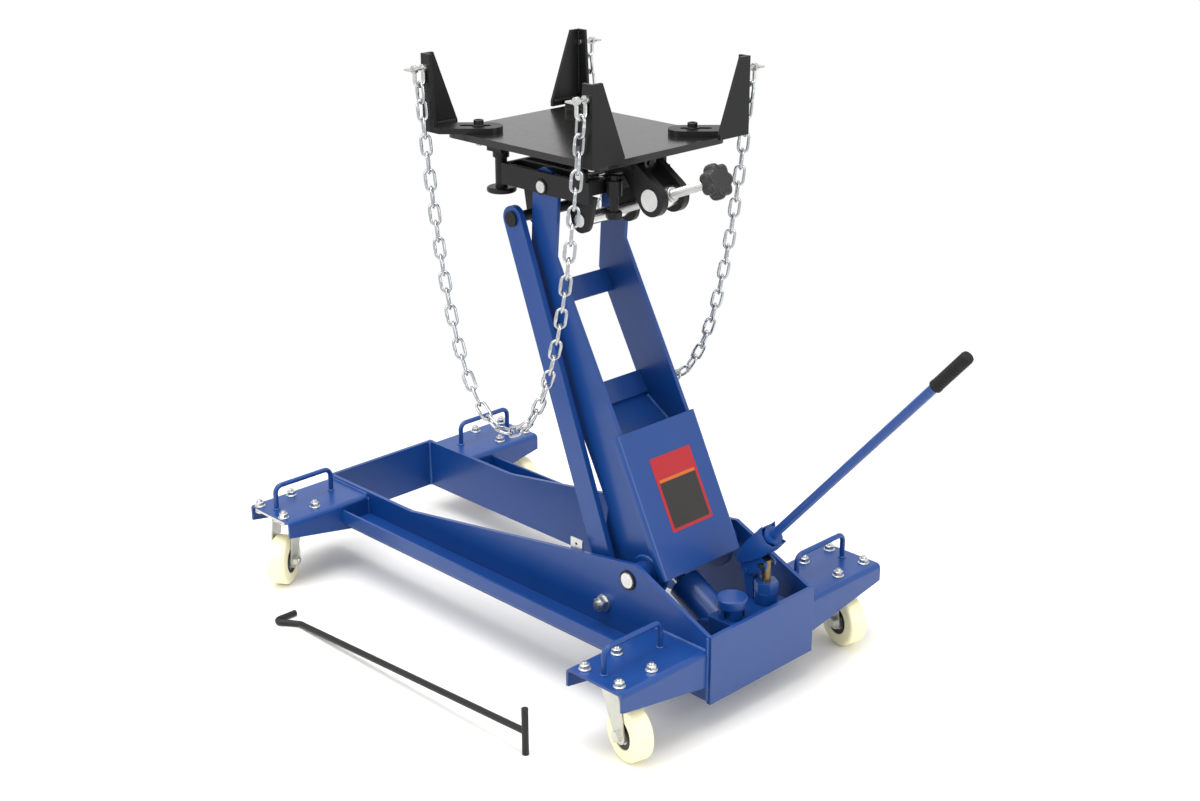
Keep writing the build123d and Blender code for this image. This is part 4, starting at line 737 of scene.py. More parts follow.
@dataclass(frozen=True)
class Studio:
    """Camera, floor and soft light.

    Args:
        bench: bench whose datum the camera is set out from.
        eye: place of the camera in chassis millimetres.
        yaw: heading of the view in degrees.
        pitch: tilt of the view in degrees.
        roll: roll of the view in radians.
        focal_pixels: focal length in pixels of the photograph.
        sensor: width of the camera's sensor.
        floor_half: half of the floor's side in metres.
        floor_fade: distances from the origin, in metres, between which the floor turns plain white.
        glow_rise: vertical parts of the directions between which the sky brightens.
        glow: strengths of the sky at both.
        aim: point in metres that the lamps face.
        lamps: name, place in metres, side in metres and watts of each soft box.
    """

    bench: Bench
    eye: Point3 = (-1759.0, 2134.0, 1611.0)
    yaw: float = -44.6
    pitch: float = -20.7
    roll: float = -0.003
    focal_pixels: float = 1773.5
    sensor: float = 36.0
    floor_half: float = 30.0
    floor_fade: Point2 = (0.8, 1.6)
    glow_rise: Point2 = (-0.1, 0.8)
    glow: Point2 = (0.42, 1.05)
    aim: Point3 = (0.0, 0.0, 0.4)
    lamps: tuple[tuple[str, Point3, float, float], ...] = (
        ("overhead_box", (0.3, 0.3, 3.4), 2.6, 100.0),
        ("left_box", (0.6, 3.2, 2.2), 2.2, 42.0),
        ("rear_box", (-3.2, -0.4, 1.6), 1.8, 34.0),
    )

    def camera(self) -> None:
        """Places the camera at the photograph's view."""
        data = bpy.data.cameras.new("camera")
        data.sensor_fit = "HORIZONTAL"
        data.sensor_width = self.sensor
        data.lens = self.sensor * self.focal_pixels / IMAGE_WIDTH
        data.clip_start, data.clip_end = 0.05, 100.0
        camera = show("camera", data)
        yaw, pitch = math.radians(self.yaw), math.radians(self.pitch)
        level = math.cos(pitch)
        ahead = Vector((level * math.cos(yaw), level * math.sin(yaw), math.sin(pitch)))
        turn = ahead.to_track_quat("-Z", "Y").to_matrix().to_4x4()
        place = Matrix.Translation(self.bench.place() @ Vector(self.eye))
        camera.matrix_world = place @ turn @ Matrix.Rotation(self.roll, 4, "Z")
        bpy.context.scene.camera = camera

    def seen(self, tree: bpy.types.NodeTree) -> bpy.types.NodeSocket:
        """Tells which rays show a surface to the camera, straight or by a mirror or glass.

        Args:
            tree: node tree that asks.

        Returns:
            Socket that gives 1 for such rays.
        """
        path = add_node(tree, "LightPath").outputs
        rays = {0: path["Is Camera Ray"], 1: path["Is Glossy Ray"]}
        both = add_node(tree, "Math", {"operation": "ADD"}, rays)
        clamped = {"operation": "ADD", "use_clamp": True}
        rays = {0: both.outputs[0], 1: path["Is Transmission Ray"]}
        return add_node(tree, "Math", clamped, rays).outputs[0]

    def floor(self) -> None:
        """Lays the pale floor, which fades to white away from the jack."""
        mesh = bmesh.new()
        bmesh.ops.create_grid(mesh, x_segments=2, y_segments=2, size=self.floor_half)
        data = bpy.data.meshes.new("floor")
        mesh.to_mesh(data)
        mesh.free()
        made = bpy.data.materials.new("pale_floor")
        made.use_nodes = True
        tree = made.node_tree
        shader = tree.nodes["Principled BSDF"]
        shader.inputs["Base Color"].default_value = linear("#F6F5F2")
        shader.inputs["Roughness"].default_value = 0.75
        place = add_node(tree, "TexCoord").outputs["Object"]
        reach = add_node(tree, "VectorMath", {"operation": "LENGTH"}, {0: place}).outputs["Value"]
        near, far = self.floor_fade
        span = {"Value": reach, "From Min": near, "From Max": far}
        fade = add_node(tree, "MapRange", {"interpolation_type": "SMOOTHSTEP"}, span)
        factors = {0: fade.outputs["Result"], 1: self.seen(tree)}
        share = add_node(tree, "Math", {"operation": "MULTIPLY"}, factors)
        white = add_node(tree, "Emission", inputs={"Color": (1, 1, 1, 1), "Strength": 1.0})
        sides = {0: share.outputs[0], 1: shader.outputs[0], 2: white.outputs[0]}
        mix = add_node(tree, "MixShader", inputs=sides)
        tree.links.new(mix.outputs[0], tree.nodes["Material Output"].inputs["Surface"])
        data.materials.append(made)
        show("floor", data)

    def world(self) -> None:
        """Lights the scene from all round, and shows white behind it."""
        world = bpy.data.worlds.new("studio")
        bpy.context.scene.world = world
        world.use_nodes = True
        tree = world.node_tree
        tree.nodes.clear()
        place = add_node(tree, "TexCoord").outputs["Generated"]
        rise = add_node(tree, "SeparateXYZ", inputs={0: place}).outputs["Z"]
        span = {"Value": rise, "From Min": self.glow_rise[0], "From Max": self.glow_rise[1]}
        glow = add_node(
            tree, "MapRange", inputs=span | {"To Min": self.glow[0], "To Max": self.glow[1]}
        )
        sky = {"Color": linear("#F6F5F3"), "Strength": glow.outputs["Result"]}
        soft = add_node(tree, "Background", inputs=sky)
        white = add_node(tree, "Background", inputs={"Color": (1, 1, 1, 1), "Strength": 1.0})
        sides = {0: self.seen(tree), 1: soft.outputs[0], 2: white.outputs[0]}
        mix = add_node(tree, "MixShader", inputs=sides)
        add_node(tree, "OutputWorld", inputs={"Surface": mix.outputs[0]})

    def lamp(self, name: str, at: Point3, size: float, watts: float) -> None:
        """Hangs a square soft box.

        Args:
            name: name of the lamp.
            at: its place in metres.
            size: side of the box in metres.
            watts: its power.
        """
        data = bpy.data.lights.new(name, "AREA")
        data.shape, data.size, data.energy = "SQUARE", size, watts
        turn = (Vector(self.aim) - Vector(at)).to_track_quat("-Z", "Y").to_matrix().to_4x4()
        show(name, data).matrix_world = Matrix.Translation(at) @ turn

    def build(self) -> None:
        """Sets up the whole studio."""
        self.camera()
        self.floor()
        self.world()
        for lamp in self.lamps:
            self.lamp(*lamp)
        bpy.context.scene.view_settings.view_transform = "Standard"


@dataclass(frozen=True)
class SubAssembly:
    """Part of the jack that is made on the bench.

    Args:
        bench: bench that keeps its pieces.
    """

    bench: Bench

    def build(self) -> None:
        """Makes its pieces."""
        raise NotImplementedError


# Chains and shackles


@dataclass(frozen=True)
class Chains(SubAssembly):
    """Two welded zinc chains that hang between the corner posts.

    Args:
        wire: diameter of the wire of a link.
        length: length of a link.
        width: width of a link.
        seam_swell: growth of the wire at the welded seam.
        half_span: half of the distance between the ends of a chain.
        plane_offset: offset of the plane that a chain hangs in.
        sag: depth that it hangs to.
        gap: play between two links.
        bow_bottom: height of the lower edge of a shackle's bow.
        bow_wire: diameter of the bow.
        keep_share: not used.
        twist: turn in degrees of the links about their length where the chain hangs straight down.
        untwisted_links: links at each end over which that turn grows.
    """

    wire: float = 5.5
    length: float = 42.0
    width: float = 22.0
    seam_swell: float = 1.16
    half_span: float = 201.0
    plane_offset: float = 203.8
    sag: float = 590.0
    gap: float = 0.4
    bow_bottom: float = 1036.0
    bow_wire: float = 7.0
    keep_share: float = 0.16
    twist: float = 45.0
    untwisted_links: int = 3

    def link(self) -> bmesh.types.BMesh:
        """One link in the XY plane with a swollen seam on one side.

        Returns:
            The closed mesh, centred on the origin and long in X.
        """
        arc = (self.width - self.wire) / 2
        straight = (self.length - self.wire) / 2 - arc
        swell = self.seam_swell
        part = bmesh.new()
        verts = section(part, self.wire / 2, "Y")
        bmesh.ops.translate(part, verts=verts, vec=(-straight, arc, 0))
        edges = part.edges[:]
        # Share of the straight that each step covers, and the growth of the wire there
        seam_side = ((0.75, 1.0), (0.1, swell), (0.3, 1.0), (0.85, 1 / swell))
        for side, steps in ((1, seam_side), (-1, ((2.0, 1.0),))):
            for share, growth in steps:
                edges, verts = self.drawn(part, edges, (side * share * straight, 0, 0))
                middle = sum((vert.co for vert in verts), Vector()) / len(verts)
                space = Matrix.Translation(-middle)
                bmesh.ops.scale(part, verts=verts, vec=(1, growth, growth), space=space)
            centre = (side * straight, 0, 0)
            bend = {"cent": centre, "axis": (0, 0, -1), "angle": math.pi, "steps": 6}
            last = bmesh.ops.spin(part, geom=edges, **bend)["geom_last"]
            edges = kind_of(last, bmesh.types.BMEdge)
        bmesh.ops.remove_doubles(part, verts=part.verts, dist=0.05)
        bmesh.ops.recalc_face_normals(part, faces=part.faces)
        return part

    def drawn(self, part: bmesh.types.BMesh, edges: list, step: Point3) -> tuple[list, list]:
        """Draws a ring of edges out.

        Args:
            part: mesh that holds the ring.
            edges: edges of the ring.
            step: way that the new ring moves.

        Returns:
            Edges and vertices of the new ring.
        """
        grown = bmesh.ops.extrude_edge_only(part, edges=edges)["geom"]
        verts = kind_of(grown, bmesh.types.BMVert)
        bmesh.ops.translate(part, verts=verts, vec=step)
        fresh = set(verts)
        ring = [edge for edge in kind_of(grown, bmesh.types.BMEdge) if fresh.issuperset(edge.verts)]
        return ring, verts

    def catenary(self) -> float:
        """Finds the parameter of the hanging curve by bisection.

        Returns:
            Radius of the curve at its lowest point.
        """
        low, high = self.half_span / 20, self.half_span * 20
        for _ in range(80):
            middle = (low + high) / 2
            if middle * (math.cosh(self.half_span / middle) - 1) > self.sag:
                low = middle
            else:
                high = middle
        return middle

    def joints(self) -> list[Point2]:
        """Finds where the links meet.

        Returns:
            Runs from the saddle's middle and heights.
        """
        scale = self.catenary()
        half_length = scale * math.sinh(self.half_span / scale)
        count = int(2 * half_length / (self.length - 2 * self.wire - self.gap)) + 1
        count += 1 - count % 2
        step = 2 * half_length / count
        hook_drop = (self.wire + self.bow_wire) / 2 + self.gap
        top = self.bow_bottom + hook_drop - ((self.length - self.wire) / 2 - step / 2)
        runs = [scale * math.asinh((i * step - half_length) / scale) for i in range(count + 1)]
        return [(run, top - self.sag + scale * (math.cosh(run / scale) - 1)) for run in runs]

    def chain(self, name: str, offset: float) -> None:
        """Strings the links of one chain.

        Args:
            name: node that the chain stands for.
            offset: offset of its plane.
        """
        joints = self.joints()
        form = Form((CHAIN_ZINC,))
        for index, (start, end) in enumerate(zip(joints, joints[1:])):
            along = Vector((end[0] - start[0], 0, end[1] - start[1])).normalized()
            flat = Vector((0, 1, 0)) if index % 2 == 0 else Vector((-along.z, 0, along.x))
            from_end = min(index, len(joints) - 2 - index) / self.untwisted_links
            twist = math.radians(self.twist) * along.z * min(1.0, from_end)
            flat = Matrix.Rotation(-twist, 3, along) @ flat
            station = SADDLE_STATION + (start[0] + end[0]) / 2
            centre = (station, offset, (start[1] + end[1]) / 2)
            form.add(self.link(), set_on(centre, along, flat.cross(along), flat))
        piece = self.bench.keep(f"{name}_links", form, "saddle", "zinc", (name,), sharp=60)
        anchor = self.bench.place() @ Vector((SADDLE_STATION, offset, self.bow_bottom))
        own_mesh(piece)

    def build(self) -> None:
        """Strings both chains."""
        self.chain("chain_left", self.plane_offset)
        self.chain("chain_right", -self.plane_offset)


# Casters


@dataclass(frozen=True)
class Caster(SubAssembly):
    """Fasteners and wheel hub of one caster.

    Args:
        corner: name of the corner.
        kingpin: station and offset of the kingpin.
        heading: heading of the fork in degrees.
        trail: distance of the axle from the kingpin.
        wheel_radius: radius of the wheel.
        recess_floor: distance of the hub recess from the wheel's middle.
        bolt_reach: distances of the bolts from the kingpin, lengthways and across.
        plate_bottom: height of the lower face of the caster plate.
        dust_ring: section of the dust ring, from the axis and from the recess.
        shield: section of the bearing shield.
        bolt: section of the bolt under the plate.
    """

    corner: str
    kingpin: Point2
    heading: float
    trail: float = 38.0
    wheel_radius: float = 50.0
    recess_floor: float = 15.0
    bolt_reach: Point2 = (40.5, 38.0)
    plate_bottom: float = 140.0
    dust_ring: tuple[Point2, ...] = (
        (17.5, -0.5),
        (26.2, -0.5),
        (26.2, 1.6),
        (25.4, 2.2),
        (19.4, 2.2),
        (17.5, 1.4),
        (17.5, -0.5),
    )
    shield: tuple[Point2, ...] = (
        (6.6, -0.4),
        (18.0, -0.4),
        (18.0, 0.8),
        (16.4, 1.1),
        (10.5, 1.1),
        (9.4, 2.4),
        (6.6, 2.4),
        (6.6, -0.4),
    )
    bolt: tuple[Point2, ...] = ((0, -4), (8.5, -4), (10, -2.4), (10, 0), (5, 0), (5, 11), (0, 11))

    def build(self) -> None:
        """Fits the dust rings and the bearing shields into the hub recesses."""
        ahead, left = math.cos(math.radians(self.heading)), math.sin(math.radians(self.heading))
        station, offset = self.kingpin[0] + self.trail * ahead, self.kingpin[1] + self.trail * left
        form = Form((BLACK_COAT, BRIGHT_STEEL))
        for side in (1, -1):
            place = upright((station, offset, self.wheel_radius), (-side * left, side * ahead, 0))
            for finish, profile in enumerate((self.dust_ring, self.shield)):
                form.add(turned(profile, 40, self.recess_floor), place, finish)
        corner = self.corner
        self.bench.keep(f"hub_rings_{corner}", form, f"roller_{corner}", "black_paint")

    def fasteners(self, form: Form) -> None:
        """Adds four bolts with flanged nuts.

        Args:
            form: form of all the caster fasteners.
        """
        for side_x in (-1, 1):
            for side_y in (-1, 1):
                x = self.kingpin[0] + side_x * self.bolt_reach[0]
                y = self.kingpin[1] + side_y * self.bolt_reach[1]
                # Every nut stops at an angle of its own
                spin = Matrix.Rotation(0.9 * x + 1.7 * y, 4, "Z")
                place = Matrix.Translation((x, y, OUTRIGGER_TOP)) @ spin
                form.add(nut_with_stud(16.0, 10.0, 22.0, 10.0, 4.0), place)
                form.add(turned(self.bolt, 20), Matrix.Translation((x, y, self.plate_bottom)))


@dataclass(frozen=True)
class Casters(SubAssembly):
    """Four swivel casters at the ends of the outriggers.

    Args:
        offset: distance of the kingpins from the centreline.
        corners: name, station, side and heading in degrees of each caster.
    """

    offset: float = 287.0
    corners: tuple[tuple[str, float, int, float], ...] = (
        ("front_left", 1012.0, 1, 124.0),
        ("front_right", 1012.0, -1, 197.0),
        ("rear_left", 73.0, 1, 167.0),
        ("rear_right", 73.0, -1, 165.0),
    )

    def build(self) -> None:
        """Makes the hubs and the fasteners."""
        form = Form((ZINC,))
        for corner, station, side, heading in self.corners:
            caster = Caster(self.bench, corner, (station, side * self.offset), heading)
            caster.build()
            caster.fasteners(form)
        self.bench.keep("caster_fasteners", form, "chassis", "zinc", ("caster_nuts",))


# Chassis


@dataclass(frozen=True)
class ChassisWelds(SubAssembly):
    """Weld beads of the welded chassis.

    Args:
        bar: thickness of the crossbars and of the rails.
        bead: width of a bead.
        thin_share: share of that width on outer corners.
        bottom: height where the upright beads of the corners start.
        tops: heights of the rear and the front crossbar.
        outriggers: stations of the rear and the front outriggers.
        outrigger_half: half of the length of an outrigger.
        top_inset: distance of its top bead from both ends.
        flange_root: height where its end beads start.
        flange_drop: distance below its top where they end.
        end_inset: distance of those beads from its ends.
        handles: station and offset of the middle of each corner handle.
        foot_reach: distance of a handle's feet from its middle.
        foot_ring: radius and width of the bead round a foot.
        foot_lift: height of that bead over the outrigger.
    """

    bar: float = 8.0
    bead: float = 7.0
    thin_share: float = 0.8
    bottom: float = 54.0
    tops: Point2 = (176.0, 154.0)
    outriggers: Point2 = (73.0, 1007.0)
    outrigger_half: float = 66.0
    top_inset: float = 4.0
    flange_root: float = 82.0
    flange_drop: float = 6.0
    end_inset: float = 2.4
    handles: tuple[Point2, ...] = ((77.0, 249.0), (1016.0, 243.0))
    foot_reach: float = 67.5
    foot_ring: Point2 = (5.4, 4.2)
    foot_lift: float = 0.6

    def build(self) -> None:
        """Lays the beads."""
        # The beads take the lighter weld enamel, whose colour is a painted highlight
        form = Form((BLUE_WELD_PAINTED_HIGHLIGHT,))
        for side in (1, -1):
            self.corner_beads(form, side)
            for station in self.outriggers:
                self.outrigger_beads(form, side, station)
            for station, offset in self.handles:
                self.handle_feet(form, side, station, offset)
        self.bench.keep("chassis_welds", form, "chassis", "blue_enamel", sharp=70)

    def corner_beads(self, form: Form, side: int) -> None:
        """Adds the beads where the crossbars meet a rail.

        Args:
            form: form that takes them.
            side: 1 for the left rail, -1 for the right one.
        """
        edge, inner = side * RAIL_FACE, side * (RAIL_FACE - self.bar)
        low, thin = self.bottom, self.bead * self.thin_share
        stations = (self.bar, CHASSIS_LENGTH - self.bar)
        for station, high, inwards in zip(stations, self.tops, (1, -1)):
            form.weld((station, edge, low), (station, edge, high), thin)
            form.weld((station + inwards, inner, low), (station, inner, high), self.bead)
            form.weld((station, inner + side, high + 1), (station, edge, high + 1), thin)

    def outrigger_beads(self, form: Form, side: int, station: float) -> None:
        """Adds the beads where an outrigger meets its rail.

        Args:
            form: form that takes them.
            side: 1 for the left rail, -1 for the right one.
            station: station of the outrigger's middle.
        """
        edge, top, inset = side * RAIL_FACE, OUTRIGGER_TOP, self.top_inset
        rear, front = station - self.outrigger_half, station + self.outrigger_half
        form.weld((rear + inset, edge, top), (front - inset, edge, top), self.bead)
        high = top - self.flange_drop
        for end in (rear + self.end_inset, front - self.end_inset):
            form.weld((end, edge, self.flange_root), (end, edge, high), self.bead)

    def handle_feet(self, form: Form, side: int, station: float, offset: float) -> None:
        """Adds rings of weld round the feet of a corner handle.

        Args:
            form: form that takes them.
            side: 1 for a left handle, -1 for a right one.
            station: station of the handle.
            offset: distance of its middle from the centreline.
        """
        height = OUTRIGGER_TOP + self.foot_lift
        for way in (-self.foot_reach, self.foot_reach):
            place = Matrix.Translation((station, side * offset + way, height))
            form.add(swept_ring(*self.foot_ring, 24), place)


# Arm


@dataclass(frozen=True)
class CoverPanel(SubAssembly):
    """Plain panel of printed film on the cover.

    Args:
        low: station and height of the cover's lower edge.
        high: station and height of its upper edge.
        size: width and height of the panel.
        border: width that the fields leave free, both sides together.
        fields: height of each field and of its middle over the panel's middle.
        across: offset of the panel's middle.
        up: distance of its middle from the cover's lower edge.
        thickness: thickness of each film.
        lift: distance of the back of a field from the cover.
        corner: radius of the corners.
    """

    low: Point2 = (142.0, 221.0)
    high: Point2 = (262.0, 459.0)
    size: Point2 = (104.0, 136.0)
    border: float = 13.0
    fields: tuple[Point2, ...] = ((5.5, 24.5), (83.0, -20.5))
    across: float = -6.0
    up: float = 141.0
    thickness: float = 0.5
    lift: float = 0.3
    corner: float = 2.5

    def place(self) -> Matrix:
        """Finds the place on the cover.

        Returns:
            Place with X to the right of the panel, Y up it and Z out of it.
        """
        rise = Vector((self.high[0] - self.low[0], 0, self.high[1] - self.low[1])).normalized()
        right = Vector((0, -1, 0))
        middle = Vector((self.low[0], self.across, self.low[1])) + rise * self.up
        return set_on(middle, right, rise, right.cross(rise))

    def sheet(self, width: float, height: float, middle: float, lift: float) -> bmesh.types.BMesh:
        """Thin sheet with rounded corners.

        Args:
            width: its width.
            height: its height.
            middle: height of its middle from the panel's middle.
            lift: distance of its back from the cover.

        Returns:
            The closed mesh.
        """
        part = bmesh.new()
        bmesh.ops.create_cube(part, size=1.0)
        bmesh.ops.scale(part, verts=part.verts, vec=(width, height, self.thickness))
        through = [
            edge for edge in part.edges if abs((edge.verts[0].co - edge.verts[1].co).z) > 0.1
        ]
        soften(part, through, self.corner, 4)
        bmesh.ops.translate(part, verts=part.verts, vec=(0, middle, lift + self.thickness / 2))
        return part

    def build(self) -> None:
        """Fixes the panel to the cover."""
        form = Form((PANEL_RED, PANEL_ORANGE, PANEL_DARK))
        form.add(self.sheet(*self.size, 0, 0.0), self.place())
        for finish, (height, middle) in enumerate(self.fields, 1):
            sheet = self.sheet(self.size[0] - self.border, height, middle, self.lift)
            form.add(sheet, self.place(), finish)
        self.bench.keep("cover_panel", form, "arm", "blue_enamel")


@dataclass(frozen=True)
class ArmWelds(SubAssembly):
    """Weld beads of the arm: round the pivot tube and where the cross plates meet the side plates.

    Args:
        outer: offset of the outer faces of the side plates.
        inner: offset of their inner faces.
        proud: height of the ring's middle over the outer face.
        sunk: depth of the middle of a seam in the inner face.
        boss_radius: radius of the pivot tube's boss.
        bead: width of a seam.
        ring_share: share of that width round the boss.
        seams: both ends, as station and height, of the seams on the inner faces.
    """

    outer: float = 90.0
    inner: float = 82.0
    proud: float = 0.4
    sunk: float = 0.5
    boss_radius: float = 30.0
    bead: float = 8.0
    ring_share: float = 0.6
    seams: tuple[tuple[Point2, Point2], ...] = (
        ((365.0, 464.0), (241.0, 389.5)),
        ((365.9, 468.5), (389.0, 504.8)),
        ((455.9, 644.8), (477.1, 682.2)),
    )

    def build(self) -> None:
        """Lays the beads."""
        # The beads take the lighter weld enamel, whose colour is a painted highlight
        form = Form((BLUE_WELD_PAINTED_HIGHLIGHT,))
        station, height = ARM_PIVOT
        for side in (1, -1):
            place = upright((station, side * (self.outer + self.proud), height), (0, side, 0))
            form.add(swept_ring(self.boss_radius, self.bead * self.ring_share, 48), place)
            offset = side * (self.inner - self.sunk)
            for (x_low, z_low), (x_high, z_high) in self.seams:
                form.weld((x_low, offset, z_low), (x_high, offset, z_high), self.bead)
        self.bench.keep("arm_welds", form, "arm", "blue_enamel", sharp=70)


# Head


@dataclass(frozen=True)
class RetainingRings(SubAssembly):
    """Black rings round the bright faces of the arm pivot pin and the head pin.

    Args:
        yoke_face: offset of the outer faces of the yoke.
        pivot_ring: inner radius, outer radius and height of a ring on the arm pivot pin.
        pin_ring: the same of a ring on the head pin.
        soft: width of the chamfer of their upper edges.
    """

    yoke_face: float = 100.0
    pivot_ring: Point3 = (14.1, 18.4, 3.0)
    pin_ring: Point3 = (10.3, 14.2, 2.4)
    soft: float = 0.7

    def pair(self, name: str, body: str, at: Point2, face: float, size: Point3) -> None:
        """Presses a ring on each end of a pin.

        Args:
            name: name of the piece.
            body: body that carries the pin.
            at: station and height of the pin.
            face: offset of the face under the rings.
            size: inner radius, outer radius and height of a ring.
        """
        inner, outer, top = size
        base, shoulder, soft = 0.0, top - self.soft, self.soft
        profile = [
            (inner, base),
            (outer, base),
            (outer, shoulder),
            (outer - soft, top),
            (inner + soft, top),
            (inner, shoulder),
            (inner, base),
        ]
        form = Form((BLACK_COAT,))
        for side in (1, -1):
            form.add(turned(profile, 36), upright((at[0], side * face, at[1]), (0, side, 0)))
        self.bench.keep(name, form, body, "black_paint")

    def build(self) -> None:
        """Presses both pairs on."""
        self.pair("pivot_rings", "chassis", ARM_PIVOT, RAIL_FACE, self.pivot_ring)
        self.pair("pin_rings", "head", HEAD_PIN, self.yoke_face, self.pin_ring)


@dataclass(frozen=True)
class BracketDress(SubAssembly):
    """Clamp bolts and weld beads of the corner brackets.

    Args:
        clamped: thickness that a bolt clamps.
        bolt_reach: distances of the bolts from the saddle's middle, lengthways and across.
        spine_reach: the same of the outer corners of the posts.
        sheet: thickness of a post.
        post_top: height where the beads in the posts end.
        foot_runs: lengths of both foot flanges of a post.
        bead: width of a bead.
        washer: section of the washer, from the axis and from the bracket.
        head: section of the black cap head.
        shank: section of the bolt through the plate.
    """

    clamped: float = 22.0
    bolt_reach: Point2 = (141.03, 123.03)
    spine_reach: Point2 = (212.0, 190.0)
    sheet: float = 6.0
    post_top: float = 1086.0
    foot_runs: Point2 = (70.0, 28.0)
    bead: float = 5.0
    washer: tuple[Point2, ...] = ((0, 0), (12.0, 0), (12.0, 1.8), (11.4, 2.2), (0, 2.2))
    head: tuple[Point2, ...] = (
        (0, 2),
        (9.0, 2),
        (9.0, 9.4),
        (8.2, 10.2),
        (5.2, 10.2),
        (4.7, 9.6),
        (4.7, 5.0),
        (0, 4.4),
    )
    shank: tuple[Point2, ...] = ((0, -11), (6.0, -11), (6.0, 2), (0, 2))

    def corners(self, reach: Point2) -> list[tuple[float, float, int, int]]:
        """Station, offset and both signs of each corner at a reach from the saddle's middle."""
        signs = [(way_x, way_y) for way_x in (1, -1) for way_y in (1, -1)]
        return [(SADDLE_STATION + x * reach[0], y * reach[1], x, y) for x, y in signs]

    def bolts(self) -> None:
        """Fits the cap bolts: black heads above, nuts under the plate."""
        form = Form((BLACK_COAT, ZINC))
        below = Matrix.Translation((0, 0, -self.clamped)) @ Matrix.Rotation(math.pi, 4, "X")
        for station, offset, _, _ in self.corners(self.bolt_reach):
            place = Matrix.Translation((station, offset, SADDLE_TOP))
            form.add(turned(self.washer), place)
            form.add(turned(self.head), place)
            form.add(turned(self.shank, 20), place, 1)
            form.add(nut_with_stud(19.0, 9.0, 26.0, 12.0, 4.0), place @ below, 1)
        self.bench.keep("clamp_bolts", form, "saddle", "zinc", ("bracket_bolts",))

    def build(self) -> None:
        """Fits the bolts and lays the beads at the foot and along the corner of each post."""
        self.bolts()
        form = Form((BLACK_COAT,))
        foot, bead = SADDLE_TOP + 0.5, self.bead
        run_y, run_x = self.foot_runs
        for spine_x, spine_y, x, y in self.corners(self.spine_reach):
            in_x, in_y = spine_x - x * self.sheet, spine_y - y * self.sheet
            form.weld((in_x, in_y - y * 4, foot), (in_x, spine_y - y * run_y, foot), bead)
            form.weld((in_x - x * 3, in_y, foot), (spine_x - x * run_x, in_y, foot), bead)
            form.weld((in_x, in_y, SADDLE_TOP + 4), (in_x, in_y, self.post_top), bead)
        self.bench.keep("bracket_welds", form, "saddle", "black_paint", sharp=70)


